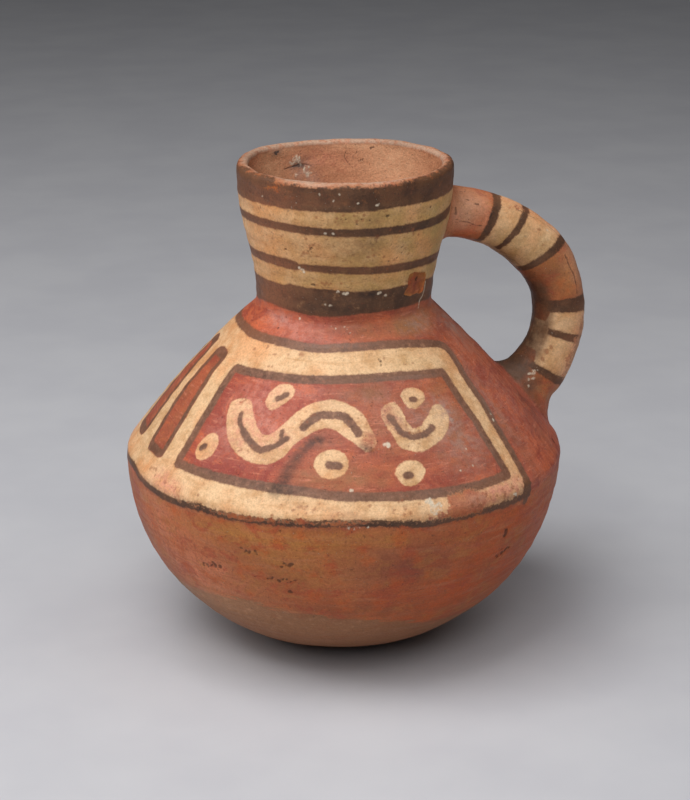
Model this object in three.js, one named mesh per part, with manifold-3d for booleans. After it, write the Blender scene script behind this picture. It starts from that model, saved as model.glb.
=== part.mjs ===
// A hand-built earthenware jug: a round-bottomed bowl and a conical shoulder joined at a sharp
// shoulder edge, a wide flaring neck with a coiled rim, and one loop handle from neck to shoulder.
// Millimetres, +Z up. The origin is the centre of the flat that the jug rests on, and the handle
// lies over +X.
import * as THREE from 'three';
import * as BufferGeometryUtils from 'three/addons/utils/BufferGeometryUtils.js';
import Module from 'manifold-3d';

// Overall sizes
const HEIGHT = 167;
const BODY_RADIUS = 74;
const SHOULDER_EDGE_HEIGHT = 68;
const NECK_BASE_HEIGHT = 119;
const NECK_BASE_RADIUS = 29.5;
const MOUTH_RADIUS = 36;
const RESTING_FLAT_RADIUS = 18;

// Walls
const FLOOR_THICKNESS = 5.5;
const SHOULDER_WALL = 5;
const NECK_WALL = 4.6;
const LIP_ROUNDING = 1.9;

// Seams between the pieces that the potter formed one by one
const PAD_SEAM_HEIGHT = 8;
const RIM_COIL_HEIGHT = 9.3;

// Fullness of the curves: how far each curve's control point lies from its end
const BOWL_UNDERSIDE_REACH = 36;
const BOWL_UNDERSIDE_LIFT = 4.8;
const BOWL_SIDE_DROP = 28.6;
const SHOULDER_SWELL_LOW = 1.6;
const SHOULDER_SWELL_HIGH = 2.1;
const NECK_FOOT_RISE = 20;
const NECK_TOP_DROP = 20.6;

// Handle
const HANDLE_THICKNESS = 18;
const HANDLE_WIDTH = 17;
const HANDLE_TOP_DROP = 19.3;
const HANDLE_FOOT_RISE = 12.4;
const HANDLE_TOP_BULGE = 11.9;
const HANDLE_TOP_FALL = 6.8;
const HANDLE_FOOT_BULGE = 14.9;
const HANDLE_FOOT_LIFT = 17.1;
const HANDLE_ROOT_DEPTH = 7;

// Luting: the rings of soft clay worked round each end of the handle
const UPPER_LUTING_FLARE = 2.4;
const UPPER_LUTING_LENGTH = 6;
const LOWER_LUTING_FLARE = 4.6;
const LOWER_LUTING_LENGTH = 8;
const LUTING_EDGE = 0.9;
const LUTING_DEPTH = 7;

const CLEARANCE = 0.3;

const TURN_SEGMENTS = 72;
const LUTING_SEGMENTS = 36;
const BOWL_STEPS = 11;
const SHOULDER_STEPS = 5;
const NECK_STEPS = 8;
const LIP_STEPS = 4;
const HANDLE_STEPS = 26;
const HANDLE_SIDE_STEPS = 12;
const FLARE_STEPS = 6;

const wasm = await Module();
wasm.setup();

const point = (r, z) => new THREE.Vector2(r, z);

function curve(start, startPull, endPull, end, steps) {
  return new THREE.CubicBezierCurve(start, startPull, endPull, end).getPoints(steps);
}

// The curve from a point on the shoulder edge up to the neck, swelling outwards by the two amounts
function swellingCurve(low, high, steps) {
  const along = high.clone().sub(low);
  const outward = point(along.y, -along.x).normalize();
  const third = low.clone().addScaledVector(along, 1 / 3).addScaledVector(outward, SHOULDER_SWELL_LOW);
  const twoThirds = low.clone().addScaledVector(along, 2 / 3).addScaledVector(outward, SHOULDER_SWELL_HIGH);
  return curve(low, third, twoThirds, high, steps);
}

function radiusAt(profile, height) {
  for (let i = 1; i < profile.length; i += 1) {
    const low = profile[i - 1];
    const high = profile[i];
    if (high.y > low.y && height >= low.y && height <= high.y) {
      return THREE.MathUtils.mapLinear(height, low.y, high.y, low.x, high.x);
    }
  }
  throw new Error(`no profile point at height ${height}`);
}

// The part of a rising profile between two heights, with exact ends
function between(profile, low, high) {
  const inside = profile.filter((p) => p.y > low + 0.01 && p.y < high - 0.01);
  return [point(radiusAt(profile, low), low), ...inside, point(radiusAt(profile, high), high)];
}

// Profiles of the outside and the inside, from the bottom up

const edge = point(BODY_RADIUS, SHOULDER_EDGE_HEIGHT);
const neckFoot = point(NECK_BASE_RADIUS, NECK_BASE_HEIGHT);
const lipStart = point(MOUTH_RADIUS, HEIGHT - LIP_ROUNDING);
const shoulderSlope = neckFoot.clone().sub(edge).normalize();
const shoulderInset = SHOULDER_WALL / shoulderSlope.y;
const innerEdge = point(BODY_RADIUS - shoulderInset, SHOULDER_EDGE_HEIGHT);
const innerNeckFoot = point(NECK_BASE_RADIUS - NECK_WALL, NECK_BASE_HEIGHT);
const rimSeamHeight = HEIGHT - RIM_COIL_HEIGHT;

function bowlCurve(start, end, underside, steps) {
  return curve(start, underside, point(end.x, end.y - BOWL_SIDE_DROP), end, steps);
}

const bowlOutside = bowlCurve(
  point(RESTING_FLAT_RADIUS, 0), edge,
  point(RESTING_FLAT_RADIUS + BOWL_UNDERSIDE_REACH, BOWL_UNDERSIDE_LIFT), BOWL_STEPS);
const bowlInside = bowlCurve(
  point(RESTING_FLAT_RADIUS, FLOOR_THICKNESS), innerEdge,
  point(RESTING_FLAT_RADIUS + BOWL_UNDERSIDE_REACH - FLOOR_THICKNESS / 2,
    BOWL_UNDERSIDE_LIFT + FLOOR_THICKNESS), BOWL_STEPS);
const shoulderOutside = swellingCurve(edge, neckFoot, SHOULDER_STEPS);
const shoulderInside = swellingCurve(innerEdge, innerNeckFoot, SHOULDER_STEPS);
const neckOutside = curve(
  neckFoot, point(NECK_BASE_RADIUS, NECK_BASE_HEIGHT + NECK_FOOT_RISE),
  point(MOUTH_RADIUS, lipStart.y - NECK_TOP_DROP), lipStart, NECK_STEPS);
const neckInside = neckOutside.map((p) => point(p.x - NECK_WALL, p.y));

function lipOutside() {
  const points = [];
  for (let i = 1; i <= LIP_STEPS; i += 1) {
    const angle = (i / LIP_STEPS) * (Math.PI / 2);
    points.push(point(
      MOUTH_RADIUS - LIP_ROUNDING + LIP_ROUNDING * Math.cos(angle),
      lipStart.y + LIP_ROUNDING * Math.sin(angle)));
  }
  return points;
}

function lipInside() {
  const middle = MOUTH_RADIUS - NECK_WALL / 2;
  return lipOutside().reverse().map((p) => point(2 * middle - p.x, p.y));
}

// Turned pieces: each is the ring or dish between the outside and the inside profile

function turned(profile, segments = TURN_SEGMENTS) {
  const first = profile[0];
  const closed = first.x === 0 ? profile : [...profile, first.clone()];
  const geometry = new THREE.LatheGeometry(closed, segments);
  geometry.rotateX(Math.PI / 2);
  return geometry;
}

function ring(outside, inside) {
  return turned([...outside, ...[...inside].reverse()]);
}

function basePad() {
  const outside = between(bowlOutside, 0, PAD_SEAM_HEIGHT);
  const inside = between(bowlInside, FLOOR_THICKNESS, PAD_SEAM_HEIGHT);
  return turned([point(0, 0), ...outside, ...inside.reverse(), point(0, FLOOR_THICKNESS)]);
}

function lowerBowl() {
  return ring(
    between(bowlOutside, PAD_SEAM_HEIGHT, SHOULDER_EDGE_HEIGHT),
    between(bowlInside, PAD_SEAM_HEIGHT, SHOULDER_EDGE_HEIGHT));
}

function shoulderCone() {
  return ring(shoulderOutside, shoulderInside);
}

function neckCollar() {
  return ring(
    between(neckOutside, NECK_BASE_HEIGHT, rimSeamHeight),
    between(neckInside, NECK_BASE_HEIGHT, rimSeamHeight));
}

function rimCoil() {
  const outside = [...between(neckOutside, rimSeamHeight, lipStart.y), ...lipOutside()];
  const inside = [...between(neckInside, rimSeamHeight, lipStart.y)].reverse();
  return turned([...outside, ...lipInside(), ...inside]);
}

// Solids for the cuts

function toManifold(geometry) {
  const bare = geometry.clone();
  bare.deleteAttribute('normal');
  bare.deleteAttribute('uv');
  const merged = BufferGeometryUtils.mergeVertices(bare, 1e-4);
  const index = merged.index.array;
  const triangles = [];
  for (let i = 0; i < index.length; i += 3) {
    const [a, b, c] = [index[i], index[i + 1], index[i + 2]];
    if (a !== b && b !== c && c !== a) {
      triangles.push(a, b, c);
    }
  }
  return new wasm.Manifold(new wasm.Mesh({
    numProp: 3,
    vertProperties: new Float32Array(merged.attributes.position.array),
    triVerts: new Uint32Array(triangles),
  }));
}

function toGeometry(solid) {
  const mesh = solid.getMesh();
  const geometry = new THREE.BufferGeometry();
  geometry.setAttribute('position', new THREE.BufferAttribute(mesh.vertProperties, 3));
  geometry.setIndex(new THREE.BufferAttribute(mesh.triVerts, 1));
  geometry.computeVertexNormals();
  return geometry;
}

// The space that the body and the neck fill, cavity included. It is grown sideways by what gives
// the sloping shoulder the full clearance.
function wallSpace() {
  const growth = CLEARANCE / shoulderSlope.y;
  const grown = [...bowlOutside, ...shoulderOutside, ...neckOutside, ...lipOutside()]
    .map((p) => point(p.x + growth, p.y));
  return toManifold(turned([point(0, -CLEARANCE), point(grown[0].x, -CLEARANCE), ...grown,
    point(0, HEIGHT)]));
}

// Handle

const at = (p) => new THREE.Vector3(p.x, 0, p.y);

function handlePath() {
  const topHeight = HEIGHT - HANDLE_TOP_DROP;
  const footHeight = SHOULDER_EDGE_HEIGHT + HANDLE_FOOT_RISE;
  const top = point(radiusAt(neckOutside, topHeight), topHeight);
  const foot = point(radiusAt(shoulderOutside, footHeight), footHeight);
  const topPull = point(BODY_RADIUS + HANDLE_TOP_BULGE, topHeight - HANDLE_TOP_FALL);
  const footPull = point(BODY_RADIUS + HANDLE_FOOT_BULGE, footHeight + HANDLE_FOOT_LIFT);
  const arch = new THREE.CubicBezierCurve3(at(top), at(topPull), at(footPull), at(foot));
  return { arch, top: at(top), foot: at(foot) };
}

const { arch, top: handleTop, foot: handleFoot } = handlePath();
const topDirection = arch.getTangent(0);
const footDirection = arch.getTangent(1).negate();

function handleSweep(growth) {
  const path = new THREE.CurvePath();
  const hiddenTop = handleTop.clone().addScaledVector(topDirection, -HANDLE_ROOT_DEPTH);
  const hiddenFoot = handleFoot.clone().addScaledVector(footDirection, -HANDLE_ROOT_DEPTH);
  path.add(new THREE.LineCurve3(hiddenTop, handleTop));
  path.add(arch);
  path.add(new THREE.LineCurve3(handleFoot, hiddenFoot));
  const section = new THREE.Shape();
  section.absellipse(0, 0, HANDLE_WIDTH / 2 + growth, HANDLE_THICKNESS / 2 + growth, 0, 2 * Math.PI);
  const geometry = new THREE.ExtrudeGeometry(section, {
    steps: HANDLE_STEPS, curveSegments: HANDLE_SIDE_STEPS, extrudePath: path, bevelEnabled: false,
  });
  return toManifold(geometry);
}

const walls = wallSpace();

function handleArch() {
  return toGeometry(handleSweep(0).subtract(walls));
}

// One flared ring of clay, turned about the handle's own line and cut to the wall and the handle
function luting(origin, direction, flareWidth, length) {
  const outerRadius = HANDLE_THICKNESS / 2 + LUTING_EDGE;
  const wide = outerRadius + flareWidth;
  const flare = curve(
    point(wide, 0), point(outerRadius + flareWidth / 4, length / 4),
    point(outerRadius, length / 2), point(outerRadius, length), FLARE_STEPS);
  const geometry = turned(
    [point(0, -LUTING_DEPTH), point(wide, -LUTING_DEPTH), ...flare, point(0, length)],
    LUTING_SEGMENTS);
  geometry.applyQuaternion(new THREE.Quaternion().setFromUnitVectors(
    new THREE.Vector3(0, 0, 1), direction));
  geometry.translate(origin.x, origin.y, origin.z);
  return toGeometry(toManifold(geometry).subtract(walls).subtract(handleSweep(CLEARANCE)));
}

// Colours of the fired clay and its slips
const BARE_CLAY = { color: 0xb0744d, roughness: 0.8, metalness: 0 };
const BURNISHED_CLAY = { color: 0xa8512c, roughness: 0.5, metalness: 0 };
const RED_SLIP = { color: 0x9c4230, roughness: 0.55, metalness: 0 };
const CREAM_SLIP = { color: 0xd3a877, roughness: 0.6, metalness: 0 };
const DARK_SLIP = { color: 0x4d3529, roughness: 0.6, metalness: 0 };

const jug = new THREE.Group();

function addPiece(name, geometry, finish) {
  const mesh = new THREE.Mesh(geometry, new THREE.MeshStandardMaterial(finish));
  mesh.name = name;
  jug.add(mesh);
}

addPiece('base_pad', basePad(), BARE_CLAY);
addPiece('lower_bowl', lowerBowl(), BURNISHED_CLAY);
addPiece('shoulder_cone', shoulderCone(), RED_SLIP);
addPiece('neck_collar', neckCollar(), CREAM_SLIP);
addPiece('rim_coil', rimCoil(), DARK_SLIP);
addPiece('handle_arch', handleArch(), CREAM_SLIP);
addPiece('upper_handle_luting',
  luting(handleTop, topDirection, UPPER_LUTING_FLARE, UPPER_LUTING_LENGTH), CREAM_SLIP);
addPiece('lower_handle_luting',
  luting(handleFoot, footDirection, LOWER_LUTING_FLARE, LOWER_LUTING_LENGTH), RED_SLIP);

export default jug;
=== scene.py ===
"""Looks of the handled bottle: eight clay pieces under painted slip, on a plain floor in soft light.

Shapes are worked out in millimetres in the shared frame and made into meshes in metres. A place on the
jug is given as (degrees round from the handle, height). The side towards the camera has negative
degrees, and the far side wears the same painting mirrored.
"""

import math

import bmesh
import bpy
import numpy as np
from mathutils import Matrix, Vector


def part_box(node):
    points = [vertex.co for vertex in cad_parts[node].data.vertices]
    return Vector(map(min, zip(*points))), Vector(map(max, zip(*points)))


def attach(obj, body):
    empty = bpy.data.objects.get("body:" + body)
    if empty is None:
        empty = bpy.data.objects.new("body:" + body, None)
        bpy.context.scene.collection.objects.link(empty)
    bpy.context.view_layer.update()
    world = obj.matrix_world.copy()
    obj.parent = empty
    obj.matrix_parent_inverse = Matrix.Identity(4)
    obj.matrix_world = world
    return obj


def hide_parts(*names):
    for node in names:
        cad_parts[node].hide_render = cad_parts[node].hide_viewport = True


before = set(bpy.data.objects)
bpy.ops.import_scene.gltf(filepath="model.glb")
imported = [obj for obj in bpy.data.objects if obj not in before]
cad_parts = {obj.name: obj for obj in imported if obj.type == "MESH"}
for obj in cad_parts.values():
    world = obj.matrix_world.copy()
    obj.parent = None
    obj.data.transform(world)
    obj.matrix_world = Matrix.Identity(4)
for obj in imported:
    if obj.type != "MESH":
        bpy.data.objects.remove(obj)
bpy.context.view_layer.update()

MM = 0.001


def node_limits(node):
    """Lowest and highest corner of a CAD node, in millimetres."""
    low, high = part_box(node)
    return np.array(low) / MM, np.array(high) / MM


# The jug's section, as the CAD model has it but with a slightly fuller, softer bowl
EDGE_SWELL = 0.4
EDGE_LIFT = 0.9
FLAT_RADIUS = 11.0
BOWL_PULL = (56.0, 5.2)
BOWL_SIDE_DROP = 28.7
SHOULDER_SWELLS = (1.6, 2.1)
NECK_RADIUS = 29.5
NECK_FOOT_RISE = 20
NECK_TOP_DROP = 20.6
LIP_HEIGHT = 1.9
LIP_ROUNDING = 0.8
WALL = 4.7
LIP_WALL = 3.9
LIP_THINNING = 22  # height below the lip over which the wall thins
FLOOR = 5.5
FLOOR_THICKENING = 30  # height above the floor over which it thickens
EDGE_SOFTNESS = 1.2
INNER_SOFTNESS = 5.0
INNER_SMOOTHING = 1.0

# Fineness of the section's curves
FINE_STEP = 0.1
SOFTENING_REACH = 4  # how many spreads a softened corner reaches
BOWL_SPANS = 200
SHOULDER_SPANS = 160
NECK_SPANS = 140
LIP_SPANS = 24

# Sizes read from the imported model
PAD_SEAM = node_limits("base_pad")[1][2]
EDGE_RADIUS = node_limits("lower_bowl")[1][1] + EDGE_SWELL
EDGE_HEIGHT = node_limits("lower_bowl")[1][2] + EDGE_LIFT
NECK_SEAM = node_limits("neck_collar")[0][2]
RIM_SEAM = node_limits("rim_coil")[0][2]
MOUTH_RADIUS = node_limits("rim_coil")[1][1]
TOP = node_limits("rim_coil")[1][2]

# How unevenly the jug was built by hand: its axis wanders with height, and its lip rises and falls
AXIS_PATH = [(-20, 0, 3), (0, 0, 2.3), (34, 0.25, 1.07), (68, 0.5, -0.16), (108, 0.1, 0),
             (133, 1.05, -0.34), (170, 1.05, -0.34)]
LIP_RISE = [(-180, 0.1), (-150, -0.05), (-108, -0.15), (-60, 0), (-20, 0.4), (10, 0.5), (45, 0.45),
            (75, 0.1), (105, 0), (135, 0.4), (155, 0.3)]
LIP_RISE_REACH = 12  # height below the top over which the lip's rise fades
STILL_AXIS = (2, 20)  # radii between which the unevenness fades in from the axis
WAVE_COUNT = 24
WAVE_SPREAD = (0.7, 1.4)

# Kinds of unevenness: depth and width of the bumps, how much faster they change going up, and the seed
JUG_UNEVENNESS = [(0.2, 38, 1, 3), (0.08, 12, 2.5, 4), (0.03, 4, 1, 6)]
LIP_UNEVENNESS = [(0.12, 9, 0, 5)]
HANDLE_UNEVENNESS = [(0.22, 20, 1, 8), (0.08, 7, 1, 9), (0.03, 3, 1, 10)]
LUTING_UNEVENNESS = [(0.25, 9, 1, 12), (0.08, 3, 1, 13)]
SCAR_UNEVENNESS = [(0.3, 2.4, 1, 31), (0.15, 1.2, 1, 32)]

# Handle centreline in the XZ plane, as pulls of one curve, and its half sizes along the way
HANDLE_CURVE = ((34.0, 147.5), (85.9, 140.9), (88.9, 97.6), (63.7, 80.5))
HANDLE_HALF_THICKNESS = ((0, 8.6), (8, 8.4), (20, 8.9), (40, 9.5), (60, 9.2), (78, 9.4), (88, 10.1),
                         (99, 10.6))
HANDLE_HALF_WIDTH = 8.6
HANDLE_SINK = 1.8
FACET_COUNT = 5
FACET_DEPTH = 0.28
FACET_TWIST = 9  # millimetres along the handle for each radian that the facets turn
FACET_END = (12, 22)
HANDLE_COLUMNS = 128
HANDLE_STEP = 0.5
HANDLE_SPANS = 400
CAP_SHARES = (0, 0.35, 0.7)

# The clay round the handle's ends. Its rows start inside the handle and end inside the wall
LUTING_ROWS = 26
LUTING_START = (0.03, 1.2)  # share of the way to the middle, and millimetres back
LUTING_CORE = 0.7
LUTING_UNDER_EDGE = (0.5, 0.9)  # millimetres in and out past its edge
LUTING_BURIED = (1.6, 2.5)  # millimetres under the wall and in from where the handle meets it
LUTING_FULLNESS = 0.9
UPPER_LUTING_LENGTH = 5.0
UPPER_LUTING_FLARES = (3.2, 3.2)
LOWER_LUTING_LENGTH = 8.0
LOWER_LUTING_FLARES = (7.5, 5.0)
LUTING_PAINT_BLEND = (0.55, 1)
WALK_LENGTH = 30
WALK_STEP = 0.05
SLOPE_REACH = 0.4

# Fineness of the turned pieces: steps up the outside and the inside, and columns round
PAD_MESH = (1.0, 3.0, 360)
BOWL_MESH = (0.72, 7.0, 720)
SHOULDER_MESH = (0.54, 6.0, 720)
NECK_MESH = (0.34, 1.4, 640)
RIM_MESH = (0.3, 0.35, 640)
SEAM_DEGREES = -270
POLE_GAP = 0.00001

FAR = 4.0  # painted distances are kept up to this many millimetres
NEARLY_ZERO = 1e-12
CURVE_SPANS = 6  # steps between two places of a smooth curve
OUTLINE_SPANS = 4


def smooth_step(value, low, high):
    """From 0 at the low value to 1 at the high one, without corners."""
    share = np.clip((value - low) / (high - low), 0, 1)
    return share * share * (3 - 2 * share)


def bezier(start, start_pull, end_pull, end, steps):
    """Points of a curve between two ends that starts and ends towards the pulls."""
    t = np.linspace(0, 1, steps + 1)[:, None]
    a, b, c, d = (np.array(p, float) for p in (start, start_pull, end_pull, end))
    return (1 - t) ** 3 * a + 3 * (1 - t) ** 2 * t * b + 3 * (1 - t) * t ** 2 * c + t ** 3 * d


def curved(places, per_span=CURVE_SPANS):
    """A smooth curve through the places."""
    places = np.array(places, float)
    p = np.concatenate([[2 * places[0] - places[1]], places, [2 * places[-1] - places[-2]]])
    t = (np.arange(per_span) / per_span)[:, None]
    spans = []
    for a, b, c, d in zip(p, p[1:], p[2:], p[3:]):
        spans.append(0.5 * (2 * b + (c - a) * t + (2 * a - 5 * b + 4 * c - d) * t ** 2
                            + (3 * b - a - 3 * c + d) * t ** 3))
    return np.concatenate([*spans, places[-1:]])


def distances_along(line):
    """How far along the line each of its points is."""
    steps = np.linalg.norm(np.diff(line, axis=0), axis=1)
    return np.concatenate([[0], np.cumsum(steps)])


def resampled(line, step):
    """The same line with evenly spaced points, its ends kept."""
    along = distances_along(line)
    count = max(1, round(along[-1] / step))
    wanted = np.linspace(0, along[-1], count + 1)
    return np.stack([np.interp(wanted, along, line[:, k]) for k in range(line.shape[1])], 1)


def softened(line, spread):
    """The line with its corners rounded over about that distance, its ends kept."""
    fine = resampled(line, FINE_STEP)
    reach = int(SOFTENING_REACH * spread / FINE_STEP)
    before = 2 * fine[0] - fine[reach:0:-1]
    after = 2 * fine[-1] - fine[-2:-reach - 2:-1]
    padded = np.concatenate([before, fine, after])
    weights = np.exp(-0.5 * (np.arange(-reach, reach + 1) * FINE_STEP / spread) ** 2)
    weights /= weights.sum()
    return np.stack([np.convolve(padded[:, k], weights, "valid") for k in (0, 1)], 1)


def outside_corners():
    """The outside of the jug from under its middle up to the lip, before its corners are softened."""
    edge = np.array((EDGE_RADIUS, EDGE_HEIGHT))
    foot = np.array((NECK_RADIUS, NECK_SEAM))
    lip = np.array((MOUTH_RADIUS, TOP - LIP_HEIGHT))
    along = foot - edge
    outward = np.array((along[1], -along[0])) / np.linalg.norm(along)
    low_swell = edge + along / 3 + outward * SHOULDER_SWELLS[0]
    high_swell = edge + along * 2 / 3 + outward * SHOULDER_SWELLS[1]
    bowl = bezier((FLAT_RADIUS, 0), BOWL_PULL, edge - (0, BOWL_SIDE_DROP), edge, BOWL_SPANS)
    shoulder = bezier(edge, low_swell, high_swell, foot, SHOULDER_SPANS)
    neck = bezier(foot, foot + (0, NECK_FOOT_RISE), lip - (0, NECK_TOP_DROP), lip, NECK_SPANS)
    return np.concatenate([[(0, 0)], bowl, shoulder[1:], neck[1:]])


def inside_from(outside):
    """The inside of the wall: the outside, its corners well rounded, moved in by the wall's thickness."""
    soft = softened(outside, INNER_SOFTNESS)
    run = np.gradient(soft, axis=0)
    run /= np.linalg.norm(run, axis=1)[:, None]
    outward = np.stack([run[:, 1], -run[:, 0]], 1)
    thickness = WALL + (FLOOR - WALL) * smooth_step(-soft[:, 1], -FLOOR_THICKENING, 0)
    thickness += (LIP_WALL - WALL) * smooth_step(soft[:, 1], TOP - LIP_THINNING, TOP)
    moved = soft - outward * thickness[:, None]
    moved[0, 0] = 0
    return softened(moved, INNER_SMOOTHING)


def lip_arc(outer_end, inner_end):
    """The rounded lip between the outside's and the inside's upper ends, from outside to inside."""
    turn = np.linspace(0, math.pi, LIP_SPANS + 1)[:, None]
    middle = (outer_end + inner_end) / 2
    across = (outer_end - inner_end) / 2
    lift = np.array((0, TOP - middle[1]))
    side = np.sign(np.cos(turn)) * np.abs(np.cos(turn)) ** LIP_ROUNDING
    return middle + across * side + lift * np.sin(turn) ** LIP_ROUNDING


CORNERS = outside_corners()
OUTSIDE = softened(CORNERS, EDGE_SOFTNESS)
INSIDE = inside_from(CORNERS)
LIP = lip_arc(OUTSIDE[-1], INSIDE[-1])
LIP_START = OUTSIDE[-1, 1]
LIP_LENGTH = distances_along(LIP)[-1]
AXIS = curved(AXIS_PATH)


def rise(line, low, high):
    """The part of a rising line between two heights, with exact ends."""
    kept = line[(line[:, 1] > low + FINE_STEP / 2) & (line[:, 1] < high - FINE_STEP / 2)]
    ends = [(np.interp(z, line[:, 1], line[:, 0]), z) for z in (low, high)]
    return np.concatenate([[ends[0]], kept, [ends[1]]])


def waves(points, wavelength, seed):
    """A smooth random height between about -1 and 1 at each point, its bumps about that wide."""
    rng = np.random.default_rng(seed)
    directions = rng.normal(size=(WAVE_COUNT, 3))
    directions /= np.linalg.norm(directions, axis=1)[:, None]
    pace = 2 * math.pi / (wavelength * rng.uniform(*WAVE_SPREAD, WAVE_COUNT))
    phase = rng.uniform(0, 2 * math.pi, WAVE_COUNT)
    return np.cos(points @ (directions * pace[:, None]).T + phase).sum(1) / math.sqrt(WAVE_COUNT)


def unevenness(points, kinds):
    """How far each point stands out, with several kinds of unevenness added up."""
    return sum(depth * waves(points * (1, 1, rate), width, seed) for depth, width, rate, seed in kinds)


def round_the_jug(angles, table, column=1):
    """Values at those angles, read off a table whose first column is degrees and which closes on itself."""
    rows = np.array(table, float)
    return np.interp(angles, rows[:, 0], rows[:, column], period=360)


def axis_at(height):
    """Where the jug's wandering axis is at a height."""
    return np.stack([np.interp(height, AXIS[:, 0], AXIS[:, k]) for k in (1, 2)], -1)


def on_turned(angle, radius, height):
    """Points of a turned surface, the angle in degrees."""
    turn = np.radians(angle)
    return np.stack([radius * np.cos(turn), radius * np.sin(turn), height + 0 * turn], -1)


def outside_radius(height):
    """The smooth outside's radius at a height."""
    return np.interp(height, OUTSIDE[:, 1], OUTSIDE[:, 0])


def on_outside(places):
    """Points of the smooth outside at places given as (degrees, height)."""
    return on_turned(places[:, 0], outside_radius(places[:, 1]), places[:, 1])


def hand_built(points, sunk=0.0):
    """Moves points of the turned jug to where the hand-built one has them."""
    out = points.copy()
    radius = np.maximum(np.hypot(points[:, 0], points[:, 1]), NEARLY_ZERO)
    grown = (unevenness(points, JUG_UNEVENNESS) - sunk) * smooth_step(radius, *STILL_AXIS)
    out[:, :2] *= (1 + grown / radius)[:, None]
    out[:, :2] += axis_at(points[:, 2])
    lift = round_the_jug(np.degrees(np.arctan2(points[:, 1], points[:, 0])), LIP_RISE)
    lift += unevenness(points, LIP_UNEVENNESS)
    out[:, 2] += smooth_step(points[:, 2], TOP - LIP_RISE_REACH, TOP) * lift
    return out


# Painting of the outside, as (degrees, height). The far side repeats it mirrored.
LINE_HALF_WIDTH = 1.55
SHOULDER_LINE_HALF_WIDTH = 1.1
FIELD_TOP = [(-200, 113.7), (-174, 113.7), (-164, 113.3), (-143, 113.3), (-130, 112.9), (-119, 112.7),
             (-109, 113.1), (-88, 113.3), (-76, 112.9), (-64.5, 111.9), (-55, 110.7), (-50, 109.3),
             (-49, 107.3)]
FIELD_SIDE = [(-49, 107.3), (-49.5, 105), (-51, 99.5), (-51, 93.3), (-52, 87.7), (-52.5, 81.7), (-53, 76.1),
              (-53.5, 70), (-54, 66)]
SHOULDER_LINE = [(-200, 69), (-182, 68.7), (-173, 67.3), (-166, 66.5), (-157, 65.9), (-146, 66.7),
                 (-138, 66.3), (-121, 66.9), (-112, 67.3), (-104, 67.5), (-94, 66.5), (-88, 65.5),
                 (-81, 65.9), (-62, 65.9), (-54, 66)]
LINE_END_BLOB = [(-54.4, 69.7), (-55.2, 64)]
PANEL = [(-159, 103.9), (-145, 104.3), (-126, 104.5), (-109, 104.9), (-92, 105.1), (-83, 104.9),
         (-73.5, 104.3), (-61.5, 103.5), (-61, 95.5), (-60, 89.5), (-60, 84), (-59.3, 73.9), (-70, 73.5),
         (-82.5, 73.7), (-93, 74.3), (-109, 74.9), (-119.5, 75.9), (-136, 76.1), (-159.5, 76.3),
         (-159.5, 83), (-159.3, 94.7), (-159.8, 100.3)]
SERPENT = [(-151.5, 95.5), (-150, 96.5), (-147, 97.3), (-143, 97.1), (-142, 95.9), (-141, 94.5),
           (-139, 92.5), (-136.5, 90.3), (-134, 89), (-131, 89.8), (-129, 91.7), (-126.8, 93.7),
           (-124.8, 95.7), (-122.2, 97.3), (-119.2, 98.5), (-115.6, 99.3), (-111.4, 99.7), (-107.8, 99.1),
           (-104.4, 98.1), (-101.8, 96.7), (-99.8, 94.7), (-97.8, 90.1), (-97.4, 88.3), (-98.6, 86.9),
           (-100.4, 86.1), (-102.2, 86.9), (-104.4, 88.5), (-107.2, 90.1), (-110.2, 91.9), (-112.8, 92.3),
           (-116, 91.9), (-118.8, 90.5), (-122.8, 87.9), (-124.8, 85.1), (-126.6, 83.5), (-129, 82.1),
           (-131.6, 81.5), (-134.4, 81.5), (-137.2, 81.9), (-140.4, 82.9), (-143.4, 84.5), (-146.2, 86.7),
           (-148.8, 89.5), (-150.8, 93.1)]
HOOK = [(-94, 96.9), (-91, 98.3), (-88, 98.1), (-87, 96.7), (-86, 95.1), (-86, 93.3), (-85, 91.5),
        (-83.5, 90.9), (-81.5, 91.3), (-79, 92.7), (-76.5, 94.3), (-75, 95.5), (-72.5, 96.1), (-70.5, 95.7),
        (-69.5, 94.1), (-69.5, 92.3), (-71, 90.5), (-73, 88.7), (-76, 87.1), (-79.5, 85.9), (-82.5, 85.1),
        (-85, 84.9), (-88, 85.7), (-90.5, 86.9), (-92, 90.3), (-94, 93.9), (-94.5, 95.5)]
EYES = [
    [(-137.5, 97.7), (-137, 100), (-134.5, 102.2), (-131, 102.9), (-128, 102.5), (-126.5, 101.2),
     (-128, 98.9), (-131, 97.1), (-134, 95.4), (-136, 96.3)],
    [(-155.2, 80.5), (-155.3, 83), (-154, 85.7), (-152, 86.7), (-149.5, 86.2), (-148.4, 83.7), (-149, 80.6),
     (-151, 79.3), (-153.5, 79.1)],
    [(-116.4, 82.6), (-115.8, 85), (-112.5, 86.7), (-109.5, 86.7), (-107, 85.4), (-106.4, 82.7),
     (-107.8, 80.5), (-111, 79.3), (-114, 79.7)],
    [(-85.3, 99.8), (-83.5, 101.1), (-80.5, 101.5), (-77, 100.9), (-75.2, 99.2), (-77, 97.3), (-81, 96.1),
     (-84, 96.8)],
    [(-93.7, 80.2), (-92, 82.4), (-89, 83.1), (-86, 82.6), (-84.4, 80.5), (-85.5, 78.4), (-89, 76.5),
     (-92, 77.1)],
]
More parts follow.
